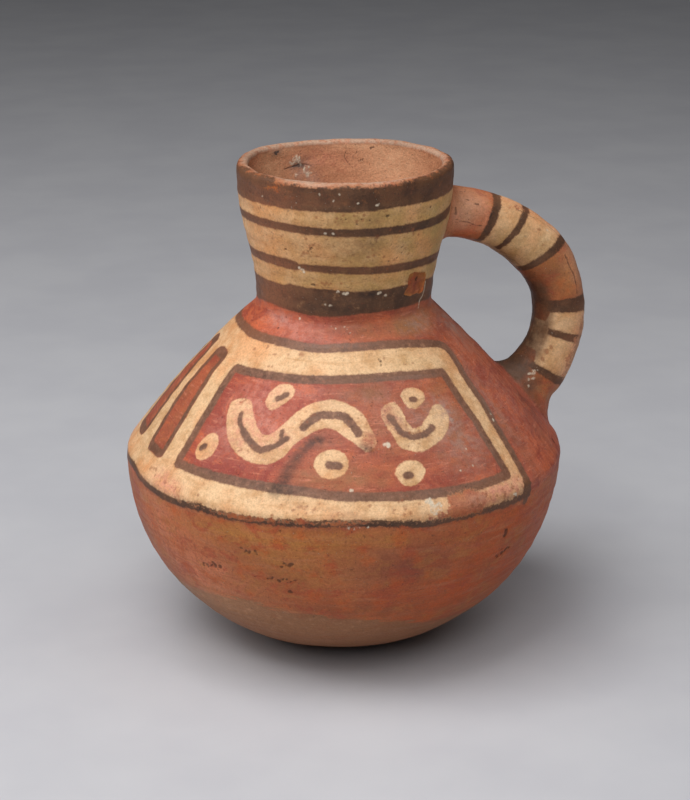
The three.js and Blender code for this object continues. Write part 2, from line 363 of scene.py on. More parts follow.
DARK_STROKES = [  # path, half width in millimetres
    ([(-145, 93.3), (-144, 91), (-141.5, 89.1)], 0.85),
    ([(-141.5, 89.1), (-138.5, 87.1), (-136, 85.9), (-133.5, 85.1), (-131, 85.9)], 1.2),
    ([(-131, 85.9), (-129, 86.7), (-127.5, 87.9), (-126, 88.9)], 0.95),
    ([(-127.5, 87.9), (-128, 90.7)], 0.7),
    ([(-121, 92.3), (-119, 93.9), (-116.5, 95.3), (-114, 95.7), (-108, 95.5), (-106, 94.3), (-104, 92.5),
      (-103, 91.1)], 1.4),
    ([(-91.5, 94.7), (-90, 92.7), (-89, 90.7), (-87, 89.5), (-85.5, 88.9), (-83, 88.9), (-80, 89.5),
      (-77.5, 90.5)], 1.1),
    ([(-133, 98.8), (-131.5, 99.3), (-129.8, 100.1)], 0.95),
    ([(-153.6, 82.1), (-152.8, 82.9)], 1.0),
    ([(-112, 82.9), (-109.4, 82.7)], 1.35),
    ([(-81.3, 98.5), (-80.5, 98.4)], 1.05),
    ([(-90.3, 79.4), (-89.3, 79.3)], 1.2),
]
SIDE_BARS = [
    [(-183.5, 105.2), (-180, 106.8), (-173, 106.5), (-170.5, 105), (-171, 101), (-169.8, 97), (-169, 93),
     (-168, 87), (-167.5, 80), (-167.3, 76.2), (-169, 74.9), (-173.5, 75.1), (-177.5, 74.9), (-179.2, 77),
     (-180.3, 82), (-181.5, 87), (-182.7, 92), (-183.3, 97)],
    [(-193, 106.3), (-199, 107), (-204, 105), (-203, 95), (-201, 85), (-200, 77), (-197, 75), (-190, 74.8),
     (-187.6, 76.5), (-188, 84), (-188.7, 92), (-190.5, 98), (-192, 103)],
]
BAR_OUTLINE_HALF_WIDTH = 1.1
BAR_CAPS = (77.4, 104.2)
BAR_WRAP = 100  # places beyond this many degrees are counted from the other way round

# Bands round the neck, as (degrees, height) or (degrees, height, half width)
RIM_BAND_BOTTOM = [(-180, 157.7), (-126, 157.9), (-111, 158), (-95, 158.1), (-82, 158.6), (-50, 158.8),
                   (0, 158.9), (60, 158.5), (130, 157.8)]
NECK_LINES = [
    [(-160, 151.6, 1.45), (-150, 151.5, 1.4), (-130, 151.2, 1.35), (-105, 150.9, 1.35), (-66, 150.8, 1.5),
     (-55, 151, 1.6), (-45, 151.3, 1.7), (-36, 151.8, 1.7), (-24, 153, 1.5), (30, 152.6, 1.4),
     (110, 151.9, 1.3)],
    [(-165, 138.8, 1.6), (-157, 138.7, 1.7), (-146, 138.5, 1.8), (-138, 138.3, 1.6), (-136, 138.1, 0.9),
     (-133, 138.1, 1.1), (-117, 138, 1.25), (-93, 137.6, 1.3), (-75, 137.4, 1.4), (-50, 137.3, 1.5),
     (-39, 136.9, 1.5), (0, 136.4, 1.3), (90, 137.6, 1.4), (150, 138.6, 1.5)],
]
BASE_BAND_TOP = [(-170, 130.9), (-149, 130.8), (-144, 131.6), (-139, 131.1), (-115, 131), (-105, 130.4),
                 (-84, 130.4), (-70, 130.7), (-46, 130.3), (-35, 129.5), (0, 129.8), (90, 130.6)]
BASE_BAND_BOTTOM = [(-183, 121.9), (-171, 122.9), (-163, 123.1), (-153, 122.7), (-130, 121.7),
                    (-123, 121.5), (-110, 121.9), (-98, 122.7), (-51, 123.1), (-38, 122.3), (60, 121.8),
                    (130, 122.4)]
LIP_SLIP_REACH = [(-180, 2.4), (-165, 3), (-150, 2.6), (-142, 1.2), (-126, 0.1), (-116, 0.8), (-104, 1.3),
                  (-92, 0.9), (-80, 1.4), (-66, 2.6), (-50, 3.2), (-35, 3.4), (0, 2.2), (60, 0.8),
                  (120, 0.4)]
BASE_TOP_MEAN = 130
CREAM_BOTTOM_GAP = 1
CREAM_TOP_LAP = 2
LIP_SLIP_END = 1
NECK_PAINT_RADIUS = 33
BURNISH_END = [(-180, 28), (-150, 32.3), (-139, 32.9), (-122, 31.9), (-111, 30.5), (-102, 28.9),
               (-89, 25.3), (-76, 21.5), (-60, 21), (0, 26), (60, 23), (120, 30)]
HANDLE_ROOT_DEGREES = 18

# Soft patches: degrees, height, half length round and half length up in millimetres, strength
PATCHES = {
    "worn": [(-146, 163.6, 12, 1.6, 0.55), (-48, 163, 12, 2, 0.3), (-156, 70, 6, 2.6, 0.62),
             (-106, 70.2, 5, 1.8, 0.5), (-130, 66.6, 9, 1.2, 0.3), (-79, 71, 3.6, 2.4, 0.8),
             (-140, 67, 20, 1.3, 0.4), (-112, 67.5, 22, 1.2, 0.45), (-74, 70.5, 7, 3.4, 1.0),
             (-60, 69.5, 10, 2.6, 0.55), (-82, 67.5, 12, 2, 0.6), (-118.6, 68.2, 2.2, 1, 0.5),
             (-20, 69, 22, 1.6, 0.4), (-99, 87.5, 3, 3, 0.5), (-147, 96.5, 3.4, 1.8, 0.5),
             (-170, 68, 10, 1.4, 0.3)],
    "faded": [(-91.5, 95.5, 3.4, 4, 0.75), (-88, 91, 2.4, 2.6, 0.45), (-70.5, 94.5, 2.4, 2.6, 0.35),
              (-99.5, 88.5, 3.4, 3.4, 0.8), (-143, 86, 6, 4, 0.3), (-127, 89, 3, 3, 0.25),
              (-68, 70, 8, 3, 0.45), (-108, 70, 6, 1.6, 0.3), (-160, 71, 6, 2, 0.35),
              (-112, 79.5, 4, 1.5, 0.2)],
    "frayed": [(-140, 66.5, 24, 3.5, 1), (-100, 66.5, 30, 3.5, 1), (-60, 67, 20, 4, 1), (-20, 68, 20, 4, 1),
               (-85, 93, 9, 7, 0.5), (-105, 94, 12, 7, 0.25)],
    "pink": [(-163, 71, 6, 3, 0.6), (-60, 71, 10, 2.5, 0.6), (-151, 119.5, 7, 2.5, 0.5),
             (-134, 116.5, 12, 3, 0.7), (-141, 98, 9, 6, 0.8), (-123, 101, 9, 3, 0.5),
             (-92, 99.5, 6, 4, 0.4), (-136, 89, 12, 6, 0.9), (-150, 85, 6, 8, 0.4), (-104, 92, 10, 7, 0.2),
             (-35, 92, 12, 18, 0.3), (-66, 70, 14, 3, 0.8), (-12, 84, 12, 12, 0.4), (-163, 55, 16, 10, 0.7),
             (-150, 41, 16, 8, 1.1), (-130, 62, 10, 2, 0.3), (-158, 69.5, 6, 2.6, 0.9)],
    "crimson": [(-157, 97, 5, 8, 0.7), (-146, 79, 12, 4, 0.9), (-152, 88, 6, 6, 0.5), (-64, 79, 5, 5, 0.35),
                (-118, 96, 8, 6, 0.35), (-28, 72, 10, 3, 0.4), (-42, 116, 5, 2, 0.3),
                (-120, 119, 20, 2, 0.3), (-57, 130, 4, 4, 0.9), (-90, 51, 14, 7, 0.75)],
    # Some of these patches are painted light. Those near the right edge, at -26 to -44 degrees, paint a
    # warmer reflected light on the bowl, shoulder, bands and rim. The large one at -158 degrees paints the
    # light on the neck's left edge. The rest are the clay's and the slips' own warmer tone.
    "warm_and_edge_light": [(-166, 117, 8, 5, 1), (-26, 104, 18, 12, 0.9), (-66, 88, 8, 10, 0.3), (-34, 146, 6, 22, 0.6),
             (-158, 145, 16, 26, 0.9), (-160, 125, 9, 6, 0.9), (-74, 69, 8, 3, 0.5), (-160, 76, 5, 6, 0.4),
             (-116, 79, 9, 3.4, 0.7), (-104, 79, 9, 3, 0.6), (-72, 101, 7, 3, 0.8),
             (-85, 116.5, 12, 3, 0.6), (-165, 55, 22, 9, 0.5), (-58, 50, 26, 20, 1), (-74, 36, 26, 10, 0.9),
             (-108, 37, 22, 6, 0.5), (-28, 45, 20, 22, 0.8), (-118, 71, 14, 3, 0.3), (-158, 69, 6, 2, 0.8),
             (-44, 160, 8, 4, 0.6), (-44, 127, 8, 6, 0.6), (-38, 76, 12, 6, 0.9), (-150, 160, 14, 4, 0.8),
             (-100, 138, 60, 2.2, 0.45), (-172, 70, 7, 5, 0.8), (-176, 100, 6, 12, 0.5),
             (-92, 22, 30, 7, 0.5)],
    "olive": [(-78, 146, 16, 22, 0.4), (-52, 148, 12, 20, 0.7), (-97, 146, 10, 22, 0.5),
              (-100, 155.5, 12, 3, 0.3), (-126, 60.5, 24, 3.5, 0.9), (-104, 62, 16, 2.5, 0.5),
              (-120, 51, 18, 9, 0.6), (-75, 108, 8, 3, 0.25), (-66, 117, 8, 3, 0.5),
              (-30, 140, 14, 26, 0.3), (-66, 99, 6, 5, 0.3), (-112, 132, 24, 6, 0.6),
              (-116, 145, 14, 20, 0.3), (-108, 79, 10, 4, 0.2), (-140, 60, 14, 3, 0.5),
              (-112, 21, 40, 6, 0.4)],
    # The brown patches at (-108, 12), (-72, 24) and (-60, 44) darken the bowl low down and on its right.
    # They are partly browner clay and partly a painted shade where less light reaches.
    "brown": [(-92, 50, 15, 8, 0.4), (-105, 33, 30, 5, 0.5), (-110, 145, 20, 24, 0.6),
              (-130, 47, 20, 7, 0.3), (-108, 12, 70, 12, 0.55), (-72, 24, 24, 8, 0.4),
              (-64, 69, 14, 3, 0.5), (-176, 50, 6, 16, 0.4), (-60, 44, 18, 14, 0.4)],
    "dull": [(-116, 80, 8, 5, 1.1), (-104, 78.5, 11, 4, 1.1), (-88, 83, 12, 6, 0.4), (-96, 92, 8, 9, 0.5),
             (-100, 101, 8, 3, 0.7), (-74, 117, 18, 3, 0.7), (-58, 118.5, 8, 3, 0.9),
             (-22, 108, 14, 12, 0.3), (-70, 88, 11, 15, 0.9), (-48, 90, 5, 22, 0.6),
             (-175, 90, 10, 20, 0.7), (-90, 97, 16, 8, 0.5), (-112, 89, 8, 6, 0.5), (-30, 76, 12, 6, 0.4),
             (-110, 118, 24, 2, 0.4)],
    "pale": [(-112, 109, 20, 4, 0.7), (-112, 133.5, 14, 2.5, 0.2), (-80, 71, 10, 3, 0.3),
             (-168, 95, 4, 12, 0.5), (-145, 30, 14, 5, 0.4)],
    # The patch at (-108, 2) is a painted shade under the bowl. The others are sooty marks and staining.
    "soot_and_shade": [(-150, 161, 12, 2.5, 0.35), (-52, 162.5, 12, 2, 0.3), (-108, 125, 28, 4, 0.4),
             (-110, 66.3, 70, 1.2, 0.12), (-122, 76, 5, 3, 0.4), (-93, 151, 3.5, 5, 0.4),
             (-96, 117.5, 14, 1.6, 0.35), (-101, 87, 2.6, 1.5, 0.7), (-113, 89, 5, 1.2, 0.5),
             (-66, 116, 4, 2, 0.3), (-93, 129.4, 5, 1.6, 0.7), (-22, 84, 6, 5, 0.4), (-98, 146, 6, 5, 0.2),
             (-108, 2, 40, 5, 0.4)],
    "dusty": [(-72, 90, 11, 12, 0.22), (-68, 84, 9, 8, 0.35), (-34, 90, 10, 14, 0.15),
              (-84, 93, 10, 6, 0.3), (-71, 93.5, 3, 3.5, 0.9), (-152, 119, 5, 2, 0.4),
              (-86, 70.5, 6, 4, 0.4), (-104, 100, 10, 3, 0.15), (-140, 87, 12, 6, 0.15),
              (-58, 117, 8, 3, 0.5), (-76, 105, 20, 2, 0.25), (-112, 113, 14, 2, 0.35),
              (-48, 92, 5, 20, 0.3), (-24, 112, 8, 7, 0.8)],
    "grime": [(-98, 101, 13, 3, 0.35), (-122, 134, 30, 2, 0.12), (-64, 68, 12, 2, 0.3),
              (-108, 146, 15, 8, 0.14), (-104, 155, 18, 2, 0.14), (-84, 44, 36, 18, 0.13),
              (-52, 42, 14, 16, 0.1), (-100, 80, 14, 5, 0.1), (-106, 70.2, 5, 1.8, 0.12),
              (-160, 166, 12, 1.8, 0.45), (-40, 166, 14, 1.8, 0.3), (60, 166.5, 18, 1.5, 0.25),
              (122, 166.5, 12, 1.5, 0.45), (-112, 165, 8, 1.2, 0.25)],
}
STAIN_SMEAR = ([(-116.5, 88.9), (-120, 86.3), (-122.5, 82.1), (-124.5, 78.3), (-126, 75)], 1.6)
SMEAR_EDGE = (-1.8, 1.6)
SMEAR_STRENGTHS = {"soot_and_shade": 0.55, "grime": 0.5}

# Wear of the dark line round the shoulder's edge, of the lip and of the flake's scar
LINE_SOOT, LINE_SOOT_EDGE = 0.2, (-2, 0.8)
LINE_WEAR, LINE_WEAR_EDGE = 0.22, (-1, 0.5)
LIP_EDGE = (-0.4, 0.6)
BARE_LIP_EDGE = (-2.4, 2.6)
LIP_WEAR, BARE_LIP_WEAR, LIP_FRAY = 0.3, 0.75, 0.8
SCAR_WEAR, SCAR_WEAR_EDGE = 1.3, (-0.2, 0.2)
LIP_LIGHT = (0.3, 1.1)  # half width of the pale line on the lip, and its distance from the lip's end
LIP_LIGHT_MIDDLE, LIP_LIGHT_FADE, LIP_LIGHT_LOSS = 95, (40, 75), 2

# Heights between which the slips of the shoulder and neck change
NECK_OLIVE = 0.25
THIN_SLIP, THIN_SLIP_START, THIN_SLIP_END = 0.85, (69, 72), (119, 121)
SWEEP_DEGREES, SWEEP_START, SWEEP_END = (-53, -46), (67, 70), (116, 119)
RED_BELOW_EDGE = 2.6
RED_UNDER_BAND = 2

# Clusters of small dots: degrees, height, spread round and up in millimetres, how many, and their radius
PIT_CLUSTERS = [
    (-145, 45.3, 3.6, 1.2, 16, 0.62), (-132, 54.8, 2.8, 1.3, 10, 0.5), (-122.5, 51.5, 2.8, 1, 9, 0.55),
    (-124.5, 45.3, 5, 0.7, 16, 0.5), (-122, 40.5, 0.6, 0.3, 3, 0.6), (-61.5, 55.1, 0.7, 1.3, 9, 0.8),
    (-60, 47.5, 2.6, 1.8, 16, 0.55), (-105.5, 50.9, 0.5, 0.4, 2, 0.45), (-123.5, 63.9, 0.5, 0.5, 2, 0.45),
    (-155, 58, 5, 3, 4, 0.3), (-90, 60, 8, 4, 4, 0.3), (-144, 143.5, 0.1, 0.1, 1, 0.55),
    (-127.5, 144.8, 1.6, 0.8, 5, 0.34), (-128, 132.3, 0.5, 0.2, 2, 0.45), (-57, 156.5, 0.1, 0.1, 1, 0.4),
    (-86, 156, 0.8, 0.5, 3, 0.4), (-149, 116.5, 0.1, 0.1, 1, 0.6), (-90, 108.8, 0.3, 1.2, 4, 0.42),
    (-25.2, 71.8, 0.6, 0.5, 3, 1.0), (-80, 144, 8, 6, 10, 0.28), (-112, 155, 10, 2, 6, 0.28),
    (60, 50, 6, 4, 7, 0.45), (120, 42, 7, 3, 8, 0.45), (160, 56, 6, 3, 6, 0.4), (20, 44, 5, 4, 6, 0.45),
    (100, 146, 9, 6, 8, 0.3), (30, 60, 4, 3, 4, 0.4),
]
STAIN_CLUSTERS = [
    (-138, 145, 16, 7, 34, 0.3), (-72, 70, 8, 2, 16, 0.5), (-60, 70, 8, 2, 12, 0.4),
    (-129, 110.9, 0.8, 0.2, 3, 0.7), (-148, 111.3, 0.3, 0.8, 3, 0.6), (-142, 109.9, 0.9, 0.3, 3, 0.55),
    (-135, 110.3, 0.2, 0.2, 2, 0.6), (-142, 106.7, 0.7, 0.3, 3, 0.55), (-155.5, 109.7, 0.2, 0.2, 1, 0.6),
    (-87, 110, 1, 0.4, 3, 0.5), (-78, 107.8, 2, 0.8, 4, 0.4), (-128, 144, 4, 3, 10, 0.5),
    (-105, 156, 8, 1.5, 8, 0.5), (-118, 133, 4, 1.5, 8, 0.6), (-85, 145, 12, 7, 22, 0.5),
    (-150, 156, 8, 2, 8, 0.45), (-150, 146, 8, 4, 10, 0.4), (-160, 71, 12, 2, 16, 0.5),
    (-118, 71, 16, 2.4, 16, 0.5), (-148, 97, 2, 1.2, 10, 0.45), (-118, 96, 5, 3, 12, 0.4),
    (-136, 86, 8, 3, 14, 0.4), (-100, 92, 5, 4, 12, 0.45), (-84, 90, 8, 4, 14, 0.45),
    (-92, 71, 6, 2.6, 14, 0.5), (110, 146, 14, 8, 20, 0.5), (60, 70, 14, 2.4, 14, 0.5),
    (150, 72, 14, 3, 14, 0.5), (140, 108, 12, 3, 10, 0.5),
]
CHALK_CLUSTERS = [
    (-94, 87.7, 0.8, 0.3, 4, 0.7), (-106, 76.5, 0.2, 0.2, 2, 0.5), (-74, 78.3, 0.1, 0.1, 1, 0.45),
    (-69.5, 78.7, 0.1, 0.1, 1, 0.4), (-69, 83.3, 0.1, 0.1, 1, 0.35), (-51.5, 87.9, 0.4, 0.8, 3, 0.5),
    (-108, 129.8, 0.6, 0.3, 3, 0.45), (-113, 130.4, 0.4, 0.4, 3, 0.35), (-86, 129.3, 0.6, 0.4, 4, 0.5),
    (-83, 128.5, 0.5, 0.4, 3, 0.4), (-134, 137.4, 0.8, 1, 6, 0.45), (-119, 150.6, 0.3, 0.1, 2, 0.4),
    (-114, 150.8, 0.9, 0.1, 4, 0.35), (-156, 160.5, 0.2, 0.4, 2, 0.25), (-121, 163.5, 0.2, 0.3, 2, 0.2),
    (-111, 163.7, 0.2, 0.3, 2, 0.2), (-114, 161.7, 0.2, 0.5, 2, 0.2), (-102, 160.9, 0.4, 1.2, 3, 0.16),
    (-91, 160.1, 0.9, 0.2, 4, 0.22), (-134, 160.1, 0.2, 0.2, 2, 0.2), (-117, 125.6, 1.4, 0.2, 6, 0.3),
    (-136.5, 120.1, 0.2, 0.2, 1, 0.4), (-86, 71.9, 1, 1, 8, 0.5), (-84.5, 69.6, 1.6, 1.8, 22, 0.42),
    (-104, 66, 3, 0.5, 5, 0.35), (-60, 70, 8, 3, 10, 0.22), (-112, 118.5, 6, 1, 5, 0.25),
    (80, 90, 20, 14, 10, 0.3), (120, 128, 10, 3, 8, 0.35), (40, 68, 8, 2, 8, 0.35),
]
PIT_DEPTH = 0.3
PALE_CRACK = ([(-46, 129.3), (-47, 126.9), (-48, 124.7), (-51, 123.3), (-52, 121.1)], 0.2)

# Where a flake has come off the neck, and its depth
SPALL = [(-68, 127.3), (-67, 128.9), (-65, 130.1), (-66, 132.7), (-65, 134.3), (-61, 134.5), (-55, 133.7),
         (-49, 133.1), (-47, 131.5), (-46, 129.9), (-48, 128.1), (-48, 126.7), (-52, 125.9), (-56, 126.7),
         (-62, 126.3)]
SPALL_PIT = (-57, 131.7, 0.75)
SPALL_DEPTH = 0.5
SPALL_EDGE = (-0.3, 0.6)
SCAR_MEAN = 0.8
PIT_EDGE = (-0.25, 0.4)
DOT_SPREAD = 0.6
DOT_SIZES = (0.6, 1.1)

# The inside of the mouth: a hairline crack, a dark split, and crusts and holes
INSIDE_CRACKS = [([(72, 165.5), (71.5, 163.5), (72.5, 161), (69, 158.5), (66, 157)], 0.12),
                 ([(113, 158.6), (107, 159), (100, 159.4), (94, 158.8)], 0.2)]
INSIDE_CRUST = [(104, 161, 2.6, 1.2, 20, 0.4), (98, 157, 2.6, 1.4, 16, 0.4), (118, 166, 1.8, 0.6, 10, 0.4),
                (93, 152, 1.4, 1.6, 8, 0.4), (106, 156, 1.6, 1, 8, 0.35)]
INSIDE_SOOT = [(103.5, 159.4, 2.4, 1.6, 0.95), (118.5, 164.6, 2, 1.1, 0.8), (98, 161.5, 1.6, 0.8, 0.5),
               (128, 165.8, 1.2, 0.8, 0.5)]
INSIDE_HOLES = [(119, 164.5, 0.8, 0.5, 5, 0.7), (100, 159, 1.8, 0.8, 8, 0.5),
                (94.5, 165.8, 0.2, 0.4, 2, 0.45), (55, 164, 0.8, 0.4, 3, 0.4), (62, 160, 1.4, 0.6, 4, 0.35)]
INSIDE_PINK = [(90, 162, 16, 5, 0.6), (140, 162, 8, 5, 0.4)]
INSIDE_PALE = [(40, 160, 14, 8, 1), (66, 166, 16, 2.5, 0.9), (112, 166, 8, 2, 0.8), (128, 160, 11, 8, 1)]
INSIDE_BROWN = [(112, 156, 10, 5, 0.2), (82, 154, 12, 4, 0.4), (150, 158, 10, 6, 0.2)]
INSIDE_DUST = [(100, 157.5, 5, 3.4, 0.6), (118, 165.9, 3, 1.6, 0.6), (93, 152, 3, 3, 0.5)]

# How much browner and darker the inside gets, and the depths below the mouth between which it does
INSIDE_BROWNING, INSIDE_BROWN_DEPTHS = 0.9, (10, 40)
INSIDE_DARKENING, INSIDE_DARK_DEPTHS = 0.6, (24, 80)
INSIDE_START = 1  # the inside begins this far before the lip's end
INSIDE_BLEND = (-0.9, 0.3)

# Painting of the handle: a bar's distance along it on the outer and the inner side, its half width, and
# the degrees from the outer side that it covers
HANDLE_BARS = [(18.2, 15.4, 1.4, 150), (28.4, 24.6, 1.15, 152), (43.0, 40.0, 1.4, 166),
               (62.9, 60.7, 2.5, 136), (74.0, 71.5, 1.3, 130), (86.0, 87.8, 1.3, 132)]
INNER_SIDE = 145
CREAM_COVER = 176
LAST_BAR_LAP = 0.6

# Its grimy inner side, with a painted shade deepest where it faces the jug, from these distances along it,
# and its red foot
INNER_SIDE_START = (40, 52)
UNPAINTED_INSIDE, UNPAINTED_DEGREES = 7, (122, 140)
INNER_GRIME, INNER_GRIME_DEGREES = 0.95, (112, 138)
INNER_SHADE, INNER_SHADE_DEGREES = 0.4, (130, 160)
FOOT_RED, FOOT_RED_START = 5.2, (90, 95)
HANDLE_FRAY = 0.3

# Handle patches: distance along it, degrees from its outer side, half lengths along and round, strength
HANDLE_PATCHES = {
    "worn": [(30, 14, 14, 2.8, 0.42), (50, 30, 12, 3.4, 0.3), (76, 38, 15, 5, 0.85), (22, 40, 6, 3, 0.4),
             (7, 60, 8, 12, 0.5), (88, 112, 5, 3, 0.4)],
    "warm_and_edge_light": [(34, 16, 16, 3.6, 0.7), (76, 40, 15, 7, 0.9), (8, 60, 6, 12, 0.2)],
    "pink": [(7, 50, 7, 9, 0.9), (30, 14, 12, 3, 0.8), (50, 36, 9, 4, 0.9), (76, 38, 14, 5, 0.8),
             (14, 80, 3, 8, 0.6), (50, 14, 9, 4, 0.5), (6, 95, 5, 4, 0.5)],
    "brown": [(11, 112, 7, 5, 0.9), (50, 92, 9, 6, 0.5), (95, 84, 8, 12, 0.9), (46, 52, 4, 5, 0.4),
              (60, 46, 4, 6, 0.5)],
    "olive": [(76, 95, 14, 7, 0.2), (28, 120, 12, 7, 0.9), (94, 80, 6, 8, 0.5), (50, 68, 9, 7, 0.8)],
    # The long patches 34 mm along, at 172 and 158 degrees, darken the side facing the jug. They are partly
    # grime and partly a painted shade.
    "soot_and_shade": [(34, 172, 20, 4, 0.4), (94, 108, 3, 3, 0.4), (89, 122, 3, 3, 0.4)],
    "pale": [(7, 60, 6, 8, 0.7), (50, 44, 8, 6, 0.6), (30, 14, 12, 3, 0.6), (76, 38, 14, 5, 0.8),
             (94, 96, 4, 5, 0.4)],
    "grime": [(96, 140, 9, 7, 0.3), (50, 112, 8, 4, 0.4), (34, 158, 20, 4, 0.5), (96, 100, 5, 5, 0.4),
              (24, 70, 6, 8, 0.16), (37, 90, 5, 9, 0.1), (69, 85, 4, 9, 0.16), (47, 30, 6, 3, 0.15)],
    "dusty": [(98, 130, 5, 7, 0.3)],
}

# Handle marks: a path of (distance along it, degrees from its outer side) and its half width
HANDLE_MARKS = {
    "nick": [([(6.4, 46), (7.6, 49)], 0.22), ([(45.5, 55), (49, 60), (53, 57), (58.5, 62)], 0.24),
             ([(4, 96), (6, 99), (8, 98), (11, 103), (13, 101)], 0.16),
             ([(24, 38), (28, 41), (31, 39)], 0.14), ([(9.4, 55), (10.4, 56)], 0.32),
             ([(15.8, 62), (15.4, 80)], 0.14), ([(3, 70), (3.4, 84)], 0.16), ([(36, 30), (41, 33)], 0.14)],
    "stain": [([(79.6, 120), (80.4, 115)], 0.7), ([(77.6, 114), (78, 111)], 0.5),
              ([(92, 100), (95, 108)], 1.2), ([(83, 118), (83.6, 114)], 0.6), ([(33, 60), (33.5, 58)], 0.4),
              ([(37, 80), (37.5, 78)], 0.4), ([(97, 96), (100, 100)], 0.9), ([(90, 96), (91, 90)], 0.8),
              ([(99, 84), (101, 86)], 0.7)],
    "chalk": [([(89.6, 112), (90.4, 115)], 0.32), ([(91, 108), (91.6, 109)], 0.3),
              ([(92.6, 114), (93, 113)], 0.28), ([(88.8, 116), (89.2, 119)], 0.26),
              ([(90.8, 119), (91.4, 120)], 0.26), ([(94, 106), (94.3, 107)], 0.22),
              ([(36, 44), (36.3, 45)], 0.2), ([(87.8, 111), (88, 112)], 0.22)],
}
HANDLE_MEAN_RADIUS = 8.8
ROUGH_STEP = 2.0  # step along the lines of an outline that isn't smoothed


def in_stroke(points, path, half_widths, smooth=True):
    """How far inside a painted stroke each point lies, negative outside it, never below -FAR."""
    columns = np.column_stack([np.array(path, float), np.broadcast_to(half_widths, len(path))])
    columns = curved(columns) if smooth else resampled(columns, ROUGH_STEP)
    line = on_outside(columns[:, :2])
    widths = columns[:, 2]
    margin = FAR + widths.max()
    near = np.all((points > line.min(0) - margin) & (points < line.max(0) + margin), axis=1)
    close = points[near]
    best = np.full(len(close), -FAR)
    for start, end, start_width, end_width in zip(line, line[1:], widths, widths[1:]):
        along = end - start
        share = np.clip((close - start) @ along / max(along @ along, NEARLY_ZERO), 0, 1)
        gap = np.linalg.norm(close - start - share[:, None] * along, axis=1)
        best = np.maximum(best, start_width + share * (end_width - start_width) - gap)
    found = np.full(len(points), -FAR)
    found[near] = best
    return found


def gap_to_line(points, line):
    """Distance of each point from a line of points."""
    best = np.full(len(points), np.inf)
    for start, end in zip(line, line[1:]):
        run = end - start
        share = np.clip((points - start) @ run / (run @ run), 0, 1)
        best = np.minimum(best, np.linalg.norm(points - start - share[:, None] * run, axis=1))
    return best


def is_within(places, outline):
    """Whether each place lies inside a closed outline."""
    inside = np.zeros(len(places), bool)
    for (x0, y0), (x1, y1) in zip(outline, np.roll(outline, -1, axis=0)):
        crosses = (places[:, 1] < y0) != (places[:, 1] < y1)
        reach = x0 + (places[:, 1] - y0) * (x1 - x0) / (y1 - y0 if y1 != y0 else 1)
        inside ^= crosses & (places[:, 0] < reach)
    return inside


def in_outline(points, places, outline, smooth=False):
    """How far inside a closed outline each point lies, negative outside it."""
    outline = np.array(outline, float)
    if smooth:
        outline = curved(np.concatenate([outline, outline[:1]]), OUTLINE_SPANS)[:-1]
    edge = -in_stroke(points, np.concatenate([outline, outline[:1]]), 0, smooth=False)
    return np.where(is_within(places, outline), edge, -edge)


def scattered(clusters, seed):
    """The dots of a table of clusters, each as (degrees, height, radius)."""
    rng = np.random.default_rng(seed)
    dots = []
    for degrees, height, spread_round, spread_up, count, radius in clusters:
        across, up = rng.normal(size=(2, count)) * DOT_SPREAD
        turned = degrees + np.degrees(across * spread_round / outside_radius(height))
        sizes = radius * rng.uniform(*DOT_SIZES, count)
        dots.append(np.stack([turned, height + up * spread_up, sizes], 1))
    return np.concatenate(dots)


def in_dots(points, dots):
    """How far inside the nearest dot each point lies, negative outside them."""
    found = np.full(len(points), -FAR)
    for centre, radius in zip(on_outside(dots[:, :2]), dots[:, 2]):
        near = np.all(np.abs(points - centre) < FAR, axis=1)
        gap = np.linalg.norm(points[near] - centre, axis=1)
        found[near] = np.maximum(found[near], radius - gap)
    return found


PITS = scattered(PIT_CLUSTERS, 21)
STAINS = scattered(STAIN_CLUSTERS, 22)
CHALK = scattered(CHALK_CLUSTERS, 23)
CRUST = scattered(INSIDE_CRUST, 24)
HOLES = scattered(INSIDE_HOLES, 25)


def patches(places, table):
    """Soft patches, added up at each place."""
    total = np.zeros(len(places))
    for angle, height, half_round, half_up, strength in table:
        turn = (places[:, 0] - angle + 180) % 360 - 180
        across = np.radians(turn) * outside_radius(height) / half_round
        up = (places[:, 1] - height) / half_up
        total += strength * np.exp(-across ** 2 - up ** 2)
    return total


# Where the far side's painting falls in the near side's: its panel starts a little nearer to the handle
FAR_SIDE_FIT = [(0, 0), (60, 60), (148, 159.5), (180, 180)]
FAR_SIDE_SWAYS = [(0.8, 3.1), (0.5, 7.7)]  # millimetres up and down, and waves for each turn
SWAY_START, SWAY_END = (70, 76), (100, 106)


def layout_places(places):
    """Where each place falls in the painting: the far side mirrors the near side, a little unevenly."""
    angle = places[:, 0]
    back = np.where(angle > 0, angle, np.where(angle < -180, angle + 360, 0))
    is_back = back > 0
    mirrored = -np.interp(back, *np.array(FAR_SIDE_FIT).T)
    sway = sum(swing * np.sin(np.radians(back * pace)) for swing, pace in FAR_SIDE_SWAYS)
    in_panel = smooth_step(places[:, 1], *SWAY_START) * (1 - smooth_step(places[:, 1], *SWAY_END))
    height = places[:, 1] + np.where(is_back, sway, 0) * in_panel
    return np.stack([np.where(is_back, mirrored, angle), height], 1)


